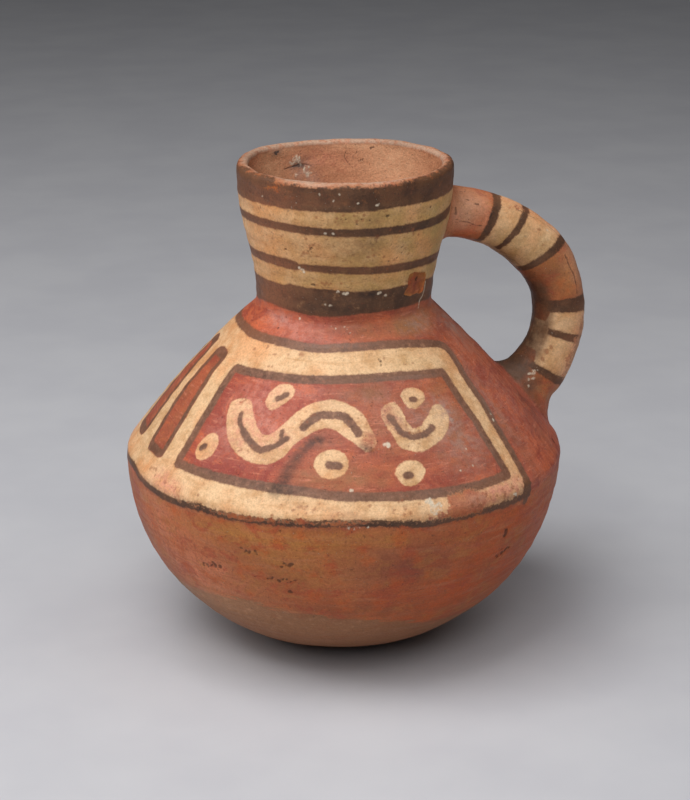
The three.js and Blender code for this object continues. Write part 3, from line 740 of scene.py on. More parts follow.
def neck_paint(places, over):
    """Cream and dark distances of the bands round the neck, rim and lip."""
    angle, z = places.T
    base_bottom = round_the_jug(angle, BASE_BAND_BOTTOM)
    rim_bottom = round_the_jug(angle, RIM_BAND_BOTTOM)
    cream = np.minimum(z - base_bottom - CREAM_BOTTOM_GAP, rim_bottom + CREAM_TOP_LAP - z)
    base = np.minimum(round_the_jug(angle, BASE_BAND_TOP) - z, z - base_bottom)
    rim = np.minimum(z - rim_bottom, LIP_LENGTH - LIP_SLIP_END - over)
    dark = np.maximum(base, rim)
    from_root = (np.abs(angle) - HANDLE_ROOT_DEGREES) * np.radians(NECK_PAINT_RADIUS)
    for table in NECK_LINES:
        line = round_the_jug(angle, table, 2) - np.abs(z - round_the_jug(angle, table))
        dark = np.maximum(dark, np.minimum(line, from_root))
    return cream, dark


def side_bar_paint(points, places, outline):
    """Inside and dark distances of one of the upright bars beside the panel."""
    wrapped = np.where(places[:, 0] > BAR_WRAP, places[:, 0] - 360, places[:, 0])
    bar = in_outline(points, np.stack([wrapped, places[:, 1]], 1), outline, smooth=True)
    rim = BAR_OUTLINE_HALF_WIDTH - np.abs(bar - BAR_OUTLINE_HALF_WIDTH)
    caps = np.maximum(BAR_CAPS[0] - places[:, 1], places[:, 1] - BAR_CAPS[1])
    return bar, np.maximum(rim, np.minimum(bar, caps))


def shoulder_paint(points, places):
    """Cream and dark distances of the painted field on the shoulder."""
    layout = layout_places(places)
    flat = on_outside(layout)
    field = in_outline(flat, layout, FIELD_TOP + FIELD_SIDE[1:] + SHOULDER_LINE[::-1][1:])
    panel = in_outline(flat, layout, PANEL)
    motifs = [in_outline(flat, layout, outline, smooth=True) for outline in (SERPENT, HOOK, *EYES)]
    dark = LINE_HALF_WIDTH - np.abs(panel)
    for path in (FIELD_TOP, FIELD_SIDE, LINE_END_BLOB):
        dark = np.maximum(dark, in_stroke(flat, path, LINE_HALF_WIDTH))
    dark = np.maximum(dark, in_stroke(flat, SHOULDER_LINE, SHOULDER_LINE_HALF_WIDTH))
    for path, half in DARK_STROKES:
        dark = np.maximum(dark, in_stroke(flat, path, half))
    cream = np.maximum(np.minimum(field, -panel), np.max(motifs, axis=0))
    for outline in SIDE_BARS:
        bar, bar_dark = side_bar_paint(points, places, outline)
        cream = np.minimum(cream, -bar)
        dark = np.maximum(dark, bar_dark)
    return cream, dark


# The layers that the material reads: distances inside a painted shape in millimetres, and shares
DISTANCES = ["red", "cream", "dark", "bare", "nick", "stain", "chalk"]
SHARES = ["worn", "faded", "frayed", "thin", "pink", "crimson", "warm_and_edge_light", "olive", "brown", "pale", "dull",
          "grime", "soot_and_shade", "dusty", "sweep", "inner"]


def blank_layers(count):
    """Every layer as it is where nothing is painted."""
    layers = {name: np.full(count, -FAR) for name in DISTANCES}
    layers.update({name: np.zeros(count) for name in SHARES})
    return layers


def add_body_soil_and_painted_light(layers, layout):
    """The soft patches on the body, some painted light and shade, the panel's smear and the shoulder line's
    wear.
    """
    flat = on_outside(layout)
    for name, table in PATCHES.items():
        layers[name] = patches(layout, table)
    smear = smooth_step(in_stroke(flat, *STAIN_SMEAR), *SMEAR_EDGE)
    for name, strength in SMEAR_STRENGTHS.items():
        layers[name] += strength * smear
    edge_line = in_stroke(flat, SHOULDER_LINE, SHOULDER_LINE_HALF_WIDTH)
    layers["soot_and_shade"] += LINE_SOOT * smooth_step(edge_line, *LINE_SOOT_EDGE)
    layers["worn"] += LINE_WEAR * smooth_step(edge_line, *LINE_WEAR_EDGE)


def add_body_wear(layers, points, places, over):
    """The worn lip and the flake's scar."""
    on_lip = smooth_step(over, *LIP_EDGE)
    bare_lip = smooth_step(over - round_the_jug(places[:, 0], LIP_SLIP_REACH), *BARE_LIP_EDGE) * on_lip
    layers["worn"] += LIP_WEAR * on_lip + BARE_LIP_WEAR * bare_lip
    layers["worn"] += SCAR_WEAR * smooth_step(in_outline(points, places, SPALL), *SCAR_WEAR_EDGE)
    layers["frayed"] += LIP_FRAY * on_lip
    layers["pink"] += bare_lip


def add_body_slips(layers, points, places, over):
    """The clay and the slips of the body, and how thinly and which way they are brushed."""
    angle, z = places.T
    layout = layout_places(places)
    field_cream, field_dark = shoulder_paint(points, places)
    neck_cream, neck_dark = neck_paint(places, over)
    red_end = round_the_jug(angle, BASE_BAND_BOTTOM) + RED_UNDER_BAND
    below_neck = 1 - smooth_step(z, *SWEEP_END)
    layers["olive"] += NECK_OLIVE * smooth_step(z, BASE_TOP_MEAN, BASE_TOP_MEAN + 1)
    layers["thin"] = THIN_SLIP * (1 - smooth_step(z, *THIN_SLIP_END)) * smooth_step(z, *THIN_SLIP_START)
    layers["sweep"] = smooth_step(layout[:, 0], *SWEEP_DEGREES) * smooth_step(z, *SWEEP_START) * below_neck
    layers["bare"] = round_the_jug(angle, BURNISH_END) - z
    layers["red"] = np.minimum(z - EDGE_HEIGHT + RED_BELOW_EDGE, red_end - z)
    layers["cream"] = np.maximum(field_cream, neck_cream)
    layers["dark"] = np.maximum(field_dark, neck_dark)


def add_body_marks(layers, points, angle, over):
    """The pits, stains and chalky specks of the body."""
    half_width, from_end = LIP_LIGHT
    lip_light = half_width - np.abs(over - LIP_LENGTH + from_end)
    lip_light -= LIP_LIGHT_LOSS * smooth_step(np.abs(angle + LIP_LIGHT_MIDDLE), *LIP_LIGHT_FADE)
    chalk = np.maximum(in_dots(points, CHALK), in_stroke(points, *PALE_CRACK))
    layers["nick"] = np.maximum(in_dots(points, PITS), in_dots(points, np.array([SPALL_PIT])))
    layers["stain"] = in_dots(points, STAINS)
    layers["chalk"] = np.maximum(chalk, lip_light)


def body_layers(places, over):
    """The layers at places on the outside, of which some lie over the lip by so many millimetres."""
    points = on_outside(places)
    layers = blank_layers(len(places))
    add_body_soil_and_painted_light(layers, layout_places(places))
    add_body_wear(layers, points, places, over)
    add_body_slips(layers, points, places, over)
    add_body_marks(layers, points, places[:, 0], over)
    return layers


def inside_layers(places, over):
    """The layers of the inside: bare clay, browner and darker towards the bottom."""
    points = on_outside(places)
    depth = np.maximum(TOP - places[:, 1], 0)
    layers = blank_layers(len(places))
    for path, half in INSIDE_CRACKS:
        layers["nick"] = np.maximum(layers["nick"], in_stroke(points, path, half))
    layers["nick"] = np.maximum(layers["nick"], in_dots(points, HOLES))
    layers["chalk"] = in_dots(points, CRUST)
    layers["inner"] = smooth_step(over, LIP_LENGTH - INSIDE_START, LIP_LENGTH)
    layers["worn"] += 1
    layers["pink"] = patches(places, INSIDE_PINK)
    layers["pale"] = patches(places, INSIDE_PALE)
    layers["brown"] = smooth_step(depth, *INSIDE_BROWN_DEPTHS) * INSIDE_BROWNING
    layers["brown"] += patches(places, INSIDE_BROWN)
    layers["soot_and_shade"] = smooth_step(depth, *INSIDE_DARK_DEPTHS) * INSIDE_DARKENING
    layers["soot_and_shade"] += patches(places, INSIDE_SOOT)
    layers["dusty"] = patches(places, INSIDE_DUST)
    return layers


def add_handle_slips(layers, along, off):
    """The handle's dark bars, its cream from the first to the third and from the fourth on, its red foot."""
    middles = [outer + (inner - outer) * off / INNER_SIDE for outer, inner, _, _ in HANDLE_BARS]
    for middle, (_, _, half, cover) in zip(middles, HANDLE_BARS):
        bar = np.minimum(half - np.abs(along - middle), np.radians(cover - off) * HANDLE_MEAN_RADIUS)
        layers["dark"] = np.maximum(layers["dark"], bar)
    upper = np.minimum(along - middles[0], middles[2] - along)
    lower = np.minimum(along - middles[3], middles[-1] + LAST_BAR_LAP - along)
    lower -= UNPAINTED_INSIDE * smooth_step(off, *UNPAINTED_DEGREES)
    around = np.radians(CREAM_COVER - off) * HANDLE_MEAN_RADIUS
    layers["cream"] = np.minimum(np.maximum(upper, lower), around)
    layers["red"] = FOOT_RED * smooth_step(along, *FOOT_RED_START) - FAR


def add_handle_soil_and_shade(layers, along, off):
    """The soft patches on the handle, the grime on its inner side and a painted shade where it faces the
    jug.
    """
    for name, table in HANDLE_PATCHES.items():
        for place, degrees, half_along, half_round, strength in table:
            across = np.radians(off - degrees) * HANDLE_MEAN_RADIUS / half_round
            layers[name] += strength * np.exp(-((along - place) / half_along) ** 2 - across ** 2)
    inner_side = smooth_step(along, *INNER_SIDE_START)
    layers["grime"] += INNER_GRIME * smooth_step(off, *INNER_GRIME_DEGREES) * inner_side
    # Painted shade over the inner side, deepest where it faces the jug
    layers["soot_and_shade"] += INNER_SHADE * smooth_step(off, *INNER_SHADE_DEGREES) * inner_side
    layers["frayed"] += HANDLE_FRAY
    layers["sweep"] += 1


def handle_layers(along, turn):
    """The painted layers of the handle: distance along it, and degrees round from its outer side."""
    off = np.abs((turn + 180) % 360 - 180)
    layers = blank_layers(len(along))
    add_handle_slips(layers, along, off)
    add_handle_soil_and_shade(layers, along, off)
    flat = np.stack([along, np.radians(off) * HANDLE_MEAN_RADIUS], 1)
    for name, marks in HANDLE_MARKS.items():
        for path, half in marks:
            line = np.array(path, float) * (1, math.radians(HANDLE_MEAN_RADIUS))
            layers[name] = np.maximum(layers[name], half - gap_to_line(flat, line))
    return layers


def mixed_layers(first, second, share):
    """Layers that pass from the first to the second as share goes from 0 to 1."""
    return {name: first[name] * (1 - share) + second[name] * share for name in first}


def grid_mesh(name, rings, closed, sharp_rings=()):
    """A mesh over rings of points, all with as many columns. Closed joins the last ring to the first."""
    rows, columns = rings.shape[:2]
    spans = rows if closed else rows - 1
    row, column = np.divmod(np.arange(spans * columns), columns)
    corner_rows = np.stack([row, row, row + 1, row + 1], 1)
    corner_columns = np.stack([column, column + 1, column + 1, column], 1)
    faces = (corner_rows % rows) * columns + corner_columns % columns
    mesh = bpy.data.meshes.new(name)
    mesh.from_pydata((rings.reshape(-1, 3) * MM).tolist(), [], faces.tolist())
    mesh.polygons.foreach_set("use_smooth", np.ones(len(faces), bool))
    flat_map = mesh.uv_layers.new(name="OFBake")
    corners = np.stack([corner_columns / columns, corner_rows / spans], -1)
    flat_map.data.foreach_set("uv", corners.astype(np.float32).ravel())
    ends = np.zeros(len(mesh.edges) * 2, np.int32)
    mesh.edges.foreach_get("vertices", ends)
    edge_rows = ends.reshape(-1, 2) // columns
    is_sharp = (edge_rows[:, 0] == edge_rows[:, 1]) & np.isin(edge_rows[:, 0], sharp_rings)
    mesh.attributes.new("sharp_edge", "BOOLEAN", "EDGE").data.foreach_set("value", is_sharp)
    return mesh


def set_layers(mesh, layers):
    """Stores each painted layer as a number on every vertex."""
    for name, values in layers.items():
        kept = np.clip(values, -FAR, FAR).astype(np.float32)
        mesh.attributes.new("paint_" + name, "FLOAT", "POINT").data.foreach_set("value", kept)


def close_poles(mesh):
    """Merges the points that meet on the axis."""
    work = bmesh.new()
    work.from_mesh(mesh)
    bmesh.ops.remove_doubles(work, verts=work.verts, dist=POLE_GAP * MM)
    work.to_mesh(mesh)
    work.free()


def add_piece(mesh, node, material):
    """Puts a finished mesh in the scene in place of a CAD node."""
    piece = bpy.data.objects.new(mesh.name, mesh)
    bpy.context.scene.collection.objects.link(piece)
    mesh.materials.append(material)
    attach(piece, "root")
    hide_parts(node)
    return piece


def sunken(places):
    """How deep the outside is sunk at each place: the flake's rough scar and the small pits."""
    points = on_outside(places)
    scar = smooth_step(in_outline(points, places, SPALL), *SPALL_EDGE)
    rough = SCAR_MEAN + unevenness(points, SCAR_UNEVENNESS)
    pits = smooth_step(in_dots(points, np.concatenate([PITS, [SPALL_PIT]])), *PIT_EDGE)
    return SPALL_DEPTH * scar * rough + PIT_DEPTH * pits


def over_the_lip(section, outer_count, lip):
    """How far each point of a section lies past the start of the lip, on over it and down the inside."""
    if lip:
        along = distances_along(section)
        return along - np.interp(LIP_START, section[:outer_count, 1], along[:outer_count])
    is_inner = np.arange(len(section)) >= outer_count
    return np.where(is_inner, LIP_LENGTH + LIP[-1, 1] - section[:, 1], section[:, 1] - LIP_START)


def wall_piece(name, lines, mesh_size, has_poles=False, lip=False):
    """A turned piece between its outer line, rising, and its inner line, falling."""
    outer, inner = (resampled(line, step) for line, step in zip(lines, mesh_size))
    columns = mesh_size[2]
    section = np.concatenate([outer, inner])
    over = over_the_lip(section, len(outer), lip)
    angle = np.arange(columns) / columns * 360 + SEAM_DEGREES
    angles, radii = np.meshgrid(angle, section[:, 0])
    is_inner = np.arange(len(section)) >= len(outer)
    heights, over, is_inner = (np.repeat(values, columns) for values in (section[:, 1], over, is_inner))
    places = np.stack([angles.ravel(), heights], 1)
    share = smooth_step(over, LIP_LENGTH + INSIDE_BLEND[0], LIP_LENGTH + INSIDE_BLEND[1])
    layers = mixed_layers(body_layers(places, over), inside_layers(places, over), share)
    sunk = np.where(is_inner, 0, sunken(places))
    points = hand_built(on_turned(places[:, 0], radii.ravel(), heights), sunk)
    seams = [] if lip else [len(outer) - 1, len(outer)]
    seams += [] if has_poles else [0, len(section) - 1]
    mesh = grid_mesh(name, points.reshape(len(section), columns, 3), not has_poles, seams)
    set_layers(mesh, layers)
    if has_poles:
        close_poles(mesh)
    return mesh


def wall_lines(low, high):
    """The wall's outer line, rising, and its inner line, falling, between two heights."""
    return rise(OUTSIDE, low, high), rise(INSIDE, low, high)[::-1]


def build_walls(material):
    """The five pieces that the body was built up from."""
    pad_outer = OUTSIDE[OUTSIDE[:, 1] < PAD_SEAM - FINE_STEP / 2]
    pad_inner = rise(INSIDE, INSIDE[0, 1], PAD_SEAM)[::-1]
    pad = wall_piece("base_pad_clay", (pad_outer, pad_inner), PAD_MESH, has_poles=True)
    add_piece(pad, "base_pad", material)
    bowl = wall_piece("lower_bowl_clay", wall_lines(PAD_SEAM, EDGE_HEIGHT), BOWL_MESH)
    add_piece(bowl, "lower_bowl", material)
    shoulder = wall_piece("shoulder_clay", wall_lines(EDGE_HEIGHT, NECK_SEAM), SHOULDER_MESH)
    add_piece(shoulder, "shoulder_cone", material)
    neck = wall_piece("neck_clay", wall_lines(NECK_SEAM, RIM_SEAM), NECK_MESH)
    add_piece(neck, "neck_collar", material)
    lip_outer, lip_inner = LIP[:len(LIP) // 2 + 1], LIP[len(LIP) // 2 + 1:]
    rim_outer = np.concatenate([rise(OUTSIDE, RIM_SEAM, LIP_START), lip_outer[1:]])
    rim_inner = np.concatenate([lip_inner[:-1], rise(INSIDE, RIM_SEAM, INSIDE[-1, 1])[::-1]])
    rim = wall_piece("rim_clay", (rim_outer, rim_inner), RIM_MESH, lip=True)
    add_piece(rim, "rim_coil", material)


def handle_line():
    """The handle's centreline, its direction and its outward side, all in the XZ plane."""
    line = resampled(bezier(*HANDLE_CURVE, HANDLE_SPANS), HANDLE_STEP)
    along = distances_along(line)
    run = np.gradient(line, axis=0)
    run /= np.linalg.norm(run, axis=1)[:, None]
    outward = np.stack([-run[:, 1], run[:, 0]], 1)
    outward *= np.sign(outward[0, 1])
    return line, along, run, outward


def handle_point(line, along, outward, turn):
    """Points round the handle's section. A quarter turn faces the camera's side."""
    half = np.interp(along, *np.array(HANDLE_HALF_THICKNESS).T)
    out = half * np.cos(turn)
    return np.stack([line[..., 0] + outward[..., 0] * out, -HANDLE_HALF_WIDTH * np.sin(turn),
                     line[..., 1] + outward[..., 1] * out], -1)


def handle_grid(first, last):
    """Rings of the handle's surface, with the distance along it and the turn round it at each point."""
    line, along, _, outward = handle_line()
    kept = slice(first, last)
    turn = -np.arange(HANDLE_COLUMNS) / HANDLE_COLUMNS * 2 * math.pi
    alongs, turns = np.meshgrid(along[kept], turn, indexing="ij")
    spread = (slice(None), None)
    points = handle_point(line[kept][spread], alongs, outward[kept][spread], turns)
    flat = points.reshape(-1, 3)
    middle = np.repeat(np.insert(line[kept], 1, 0, axis=1), HANDLE_COLUMNS, axis=0)
    away = flat - middle
    away /= np.linalg.norm(away, axis=1)[:, None]
    facets = np.cos(FACET_COUNT * turns + alongs / FACET_TWIST) * (1 - smooth_step(alongs, *FACET_END))
    uneven = unevenness(flat, HANDLE_UNEVENNESS) + FACET_DEPTH * facets.ravel()
    return (flat + away * uneven[:, None]).reshape(points.shape), alongs, turns


def carried_into_wall(ring, heading):
    """The ring carried on along the heading until it lies a little way under the outside of the wall."""
    hit = wall_hits(ring, heading)
    return hit - wall_normal(hit) * HANDLE_SINK


def cap(ring):
    """Rings that close an end of the handle, from its middle out."""
    middle = ring.mean(1, keepdims=True)
    return np.concatenate([ring * share + middle * (1 - share) for share in CAP_SHARES])


def build_handle(material):
    """The rolled handle, running a little way into the neck's and the shoulder's wall."""
    rings, alongs, turns = handle_grid(0, None)
    _, _, run, _ = handle_line()
    start = carried_into_wall(rings[0], -np.insert(run[0], 1, 0))
    end = carried_into_wall(rings[-1], np.insert(run[-1], 1, 0))
    body = np.concatenate([start[None], rings, end[None]])
    full = np.concatenate([cap(body[:1]), body, cap(body[-1:])[::-1]])
    added = len(CAP_SHARES)
    mesh = grid_mesh("handle_clay", full, closed=False, sharp_rings=[added, len(full) - 1 - added])
    repeats = [added + 2] + [1] * (len(alongs) - 2) + [added + 2]
    flat_along = np.repeat(alongs, repeats, axis=0)
    flat_turn = np.degrees(np.broadcast_to(turns[:1], flat_along.shape))
    set_layers(mesh, handle_layers(flat_along.ravel(), flat_turn.ravel()))
    close_poles(mesh)
    add_piece(mesh, "handle_arch", material)


def from_axis(points):
    """Level directions from the jug's axis to the points, with their distances."""
    off = points[..., :2] - axis_at(points[..., 2])
    distance = np.linalg.norm(off, axis=-1)
    return off / distance[..., None], distance


def onto_wall(points):
    """Moves points level with their height onto the outside wall."""
    direction, _ = from_axis(points)
    out = points.copy()
    out[..., :2] = axis_at(points[..., 2]) + direction * outside_radius(points[..., 2])[..., None]
    return out


def wall_normal(points):
    """Outward direction of the wall at points on it."""
    z = points[..., 2]
    slope = (outside_radius(z + SLOPE_REACH) - outside_radius(z - SLOPE_REACH)) / (2 * SLOPE_REACH)
    direction, _ = from_axis(points)
    normal = np.concatenate([direction, -slope[..., None]], -1)
    return normal / np.linalg.norm(normal, axis=-1)[..., None]


def level_with(directions, normal):
    """The directions without their part along the wall's normal."""
    return directions - (directions * normal).sum(1)[:, None] * normal


def wall_hits(points, heading):
    """Where lines from the points along the heading meet the outside wall."""
    walk = points[None] + heading * np.arange(0, WALK_LENGTH, WALK_STEP)[:, None, None]
    gap = from_axis(walk)[1] - outside_radius(walk[..., 2])
    return onto_wall(walk[np.argmax(gap < 0, axis=0), np.arange(len(points))])


def luting_curve(top, heading, foot, leave):
    """Rings of a curve that leaves the handle along the heading and runs out along the wall."""
    pull = LUTING_FULLNESS * np.linalg.norm(foot - top, axis=1)[:, None]
    t = np.linspace(0, 1, LUTING_ROWS)[:, None, None]
    curve = ((2 * t ** 3 - 3 * t ** 2 + 1) * top + (t ** 3 - 2 * t ** 2 + t) * heading * pull
             + (3 * t ** 2 - 2 * t ** 3) * foot + (t ** 3 - t ** 2) * leave * pull)
    flat = curve.reshape(-1, 3)
    lumps = unevenness(flat, LUTING_UNEVENNESS) * np.sin(np.repeat(t.ravel(), len(top)) * math.pi)
    return (flat + lumps[:, None] * wall_normal(flat)).reshape(curve.shape), t.ravel()


def luting_rings(first, at_end, flares):
    """Rings of clay spread from the handle onto the wall, with the share of the way along of each."""
    line, _, run, _ = handle_line()
    rings, _, turns = handle_grid(first, first + 1)
    top, turn = rings[0], turns[0]
    heading = np.insert(run[first] if at_end else -run[first], 1, 0)
    hit = wall_hits(top, heading)
    normal = wall_normal(hit)
    away = level_with(hit - hit.mean(0), normal)
    away /= np.linalg.norm(away, axis=1)[:, None]
    flare = flares[1] + (flares[0] - flares[1]) * (1 + np.cos(turn)) / 2
    foot = onto_wall(hit + away * flare[:, None])
    foot_normal = wall_normal(foot)
    leave = level_with(away, foot_normal)
    curve, t = luting_curve(top, heading, foot, leave)
    middle = np.insert(line[first], 1, 0)
    start = top + (middle - top) * LUTING_START[0] - heading * LUTING_START[1]
    sunk = foot - foot_normal * LUTING_UNDER_EDGE[0] + leave * LUTING_UNDER_EDGE[1]
    buried = hit - normal * LUTING_BURIED[0] - away * LUTING_BURIED[1]
    core = middle + (top - middle) * LUTING_CORE
    return np.stack([start, *curve, sunk, buried, core]), np.concatenate([[0], t, [1, 1, 0]]), turn


def luting(name, at_end, length, flares):
    """Clay smoothed from the handle onto the wall. Flares are its reach on the outer and the inner side."""
    _, along, _, _ = handle_line()
    steps = round(length / HANDLE_STEP)
    first = len(along) - 1 - steps if at_end else steps
    rings, share, turn = luting_rings(first, at_end, flares)
    if at_end:
        rings, turn = rings[:, ::-1], turn[::-1]
    shares = np.repeat(share, len(turn))
    angle = np.degrees(np.arctan2(rings[..., 1], rings[..., 0])).ravel()
    places = np.stack([angle, rings[..., 2].ravel()], 1)
    here = along[first] + (1 if at_end else -1) * shares * length
    turns = np.degrees(np.broadcast_to(turn, rings.shape[:2])).ravel()
    wall_layers = body_layers(places, places[:, 1] - LIP_START)
    mesh = grid_mesh(name, rings, closed=True)
    blend = smooth_step(shares, *LUTING_PAINT_BLEND)
    set_layers(mesh, mixed_layers(handle_layers(here, turns), wall_layers, blend))
    return mesh


def build_lutings(material):
    """The clay worked round both ends of the handle."""
    upper = luting("upper_luting_clay", False, UPPER_LUTING_LENGTH, UPPER_LUTING_FLARES)
    add_piece(upper, "upper_handle_luting", material)
    lower = luting("lower_luting_clay", True, LOWER_LUTING_LENGTH, LOWER_LUTING_FLARES)
    add_piece(lower, "lower_handle_luting", material)


def linear(red, green, blue):
    """A colour written as sRGB from 0 to 255, as the shaders take it."""
    def one(value):
        share = value / 255
        return share / 12.92 if share <= 0.04045 else ((share + 0.055) / 1.055) ** 2.4
    return (one(red), one(green), one(blue), 1.0)


# Colours of the clay and the slips
CLAY = linear(184, 110, 68)
CLAY_DEEP = linear(156, 82, 50)
CLAY_HOT = linear(192, 84, 32)
CLAY_YELLOW = linear(182, 122, 60)
CLAY_BROWN = linear(128, 76, 50)
CLAY_PALE = linear(206, 152, 112)
CLAY_BARE = linear(158, 109, 73)
CLAY_ROSE = linear(214, 128, 90)
CLAY_CRIMSON = linear(138, 68, 54)
CLAY_REDDISH = linear(170, 74, 48)
RED = linear(176, 86, 64)
RED_DEEP = linear(146, 64, 50)
RED_CRIMSON = linear(142, 54, 48)
RED_HOT = linear(206, 104, 66)
RED_PINK = linear(206, 130, 112)
RED_BROWN = linear(162, 102, 70)
WISP = linear(206, 124, 96)
CREAM = linear(238, 198, 152)
CREAM_DEEP = linear(194, 144, 94)
CREAM_OLIVE = linear(192, 156, 96)
CREAM_PEACH = linear(234, 160, 104)
CREAM_PINK = linear(234, 166, 132)
DARK = linear(102, 70, 49)
DARK_WARM = linear(140, 90, 64)
DARK_DEEP = linear(78, 54, 40)
DARK_WASH = linear(146, 104, 84)
FRINGE = linear(140, 78, 54)
LIP_CLAY = linear(188, 152, 128)
INSIDE_CLAY = linear(196, 136, 100)
INSIDE_TAN = linear(216, 164, 126)
INSIDE_FLUSH = linear(200, 128, 102)
GRIT = linear(140, 90, 58)
STAIN = linear(146, 84, 52)
# Near-black of sooty marks and specks, also used for the painted shade under the bowl and on the handle's
# inner side
SOOT_AND_SHADE_COLOUR = linear(54, 44, 40)
GRIME = linear(100, 70, 50)
HAZE = linear(178, 150, 138)
CHALK_COLOUR = linear(222, 206, 182)

# Noises: size in millimetres, detail, roughness, how much slower it changes going level, distortion
NOISES = {
    "level": (1.9, 4, 0.6, 0.12, 0.5),
    "blotch": (20, 3, 0.55, 1, 0),
    "mottle": (6.5, 4, 0.6, 1, 0),
    "smudge": (6, 5, 0.68, 0.55, 0.8),
    "fleck": (2.2, 4, 0.6, 1, 0),
    "grain": (0.6, 2, 0.6, 1, 0),
    "grit": (1.1, 3, 0.7, 1, 0),
    "wisps": (0.75, 2, 0.5, 0.16, 0.4),
    "sloping": (1.4, 3, 0.55, 1, 0),
    "wear": (3.2, 5, 0.65, 1, 0),
    "fine wear": (0.9, 4, 0.6, 1, 0),
    "wobble": (2.6, 3, 0.55, 1, 0),
    "fine wobble": (0.9, 3, 0.65, 1, 0),
    "specks": (0.75, 1, 0.4, 1, 0),
    "chalk dust": (0.6, 1, 0.4, 1, 0),
    "blots": (3.2, 5, 0.7, 1, 0),
    "swell": (4.5, 3, 0.55, 1, 0),
    "rough": (1.1, 4, 0.65, 1, 0),
    "floor": (60, 3, 0.55, 1, 0),
    "floor grain": (1.2, 3, 0.55, 1, 0),
}
SHARED_NOISES = ["level", "blotch", "mottle", "smudge", "fleck", "grain", "grit", "wisps"]
SLOPING_STREAKS = (48, 0.09)

# How far noises swing a value up and down
WEAR_SWINGS = (0.75, 0.45)
WOBBLES = (0.9, 0.8)
FADE_SWING = 0.5
FRINGE_WOBBLE = 0.8
BARE_SWINGS = (4.5, 1.2)

# Washes over a colour, in order: a tint, the layers that it shows in, the noise that mottles it, and the
# noise's limits with the strength at each
WHERE_PAINTED = (0.35, 0.65)
# The hot, peach and warmer dark tints follow the patches of warmer colour, which are partly a painted light
# on the jug's edges. The brown tints are partly a painted shade low on the bowl.
CLAY_WASHES = [
    (CLAY_DEEP, [], "blotch", 0.4, 0.7, 0, 0.6),
    (CLAY_HOT, ["warm_and_edge_light"], "streaks", *WHERE_PAINTED, 0.5, 1),
    (CLAY_YELLOW, ["olive"], "streaks", *WHERE_PAINTED, 0.5, 1),
    (CLAY_BROWN, ["brown"], "mottle", *WHERE_PAINTED, 0.3, 1),
    (CLAY_ROSE, ["pink"], "mottle", *WHERE_PAINTED, 0.3, 1),
    (CLAY_CRIMSON, ["crimson"], "mottle", *WHERE_PAINTED, 0.5, 1),
    (CLAY_REDDISH, [], "smudge", 0.52, 0.62, 0, 0.6),
    (CLAY_YELLOW, [], "smudge", 0.46, 0.37, 0, 0.35),
    (CLAY_DEEP, [], "streaks", 0.5, 0.74, 0, 0.35),
    (CLAY_PALE, [], "streaks", 0.44, 0.28, 0, 0.16),
    (CLAY_DEEP, [], "fleck", 0.5, 0.72, 0, 0.45),
    (CLAY_HOT, [], "mottle", 0.5, 0.3, 0, 0.5),
]
BARE_WASHES = [
    (CLAY_PALE, [], "fleck", 0.5, 0.7, 0, 0.5),
    (CLAY_DEEP, [], "mottle", 0.5, 0.72, 0, 0.35),
    (CLAY_BROWN, ["brown"], "fleck", *WHERE_PAINTED, 0.6, 1),
]
WORN_WASHES = [
    (CLAY_PALE, ["pale"], "fleck", *WHERE_PAINTED, 0.5, 1),
    (LIP_CLAY, ["pink", "worn"], "fleck", 0.4, 0.65, 1.1, 0.5),
]
INSIDE_WASHES = [
    (CLAY_DEEP, [], "fleck", 0.45, 0.75, 0, 0.5),
    (CLAY_BROWN, ["brown"], "mottle", *WHERE_PAINTED, 0.4, 0.8),
    (INSIDE_FLUSH, ["pink"], "fleck", *WHERE_PAINTED, 0.4, 1),
    (INSIDE_TAN, ["pale"], "fleck", *WHERE_PAINTED, 0.5, 1),
]
RED_WASHES = [
    (RED_DEEP, [], "mottle", 0.42, 0.68, 0, 0.8),
    (RED_CRIMSON, ["crimson"], "fleck", *WHERE_PAINTED, 0.5, 1),
    (RED_HOT, ["warm_and_edge_light"], "fleck", *WHERE_PAINTED, 0.5, 1),
    (RED_HOT, [], "smudge", 0.48, 0.39, 0, 0.65),
    (RED_CRIMSON, [], "smudge", 0.52, 0.61, 0, 0.65),
    (RED_BROWN, ["dull"], "mottle", *WHERE_PAINTED, 0.5, 1),
    (RED_DEEP, [], "streaks", 0.5, 0.7, 0, 0.5),
    (WISP, [], "wisps", 0.58, 0.72, 0, 0.65),
    (WISP, [], "streaks", 0.42, 0.28, 0, 0.35),
    (WISP, [], "grit", 0.56, 0.7, 0, 0.5),
    (RED_PINK, ["pink"], "fleck", *WHERE_PAINTED, 0.25, 1),
    (CLAY_YELLOW, ["olive"], "mottle", 0.3, 0.6, 0.3, 0.7),
]
CREAM_WASHES = [
    (CREAM_DEEP, [], "mottle", 0.4, 0.7, 0, 0.75),
    (CREAM_PEACH, ["warm_and_edge_light"], "mottle", *WHERE_PAINTED, 0.5, 1),
    (CREAM_OLIVE, ["olive"], "mottle", *WHERE_PAINTED, 0.6, 1),
    (CREAM_DEEP, ["brown"], "fleck", *WHERE_PAINTED, 0.5, 1),
    (CREAM_PINK, ["pink"], "fleck", *WHERE_PAINTED, 0.3, 1),
    (CREAM_PEACH, [], "blotch", 0.5, 0.72, 0, 0.5),
    (CREAM_DEEP, [], "streaks", 0.52, 0.72, 0, 0.5),
]
DARK_WASHES = [
    (DARK_DEEP, [], "mottle", 0.4, 0.62, 0, 1),
    (DARK_WASH, ["thin"], "fleck", *WHERE_PAINTED, 0.8, 0.35),
    (DARK_WARM, ["warm_and_edge_light"], "grit", 0.35, 0.6, 0.3, 0.9),
    (FRINGE, [], "grit", 0.56, 0.72, 0, 0.4),
]

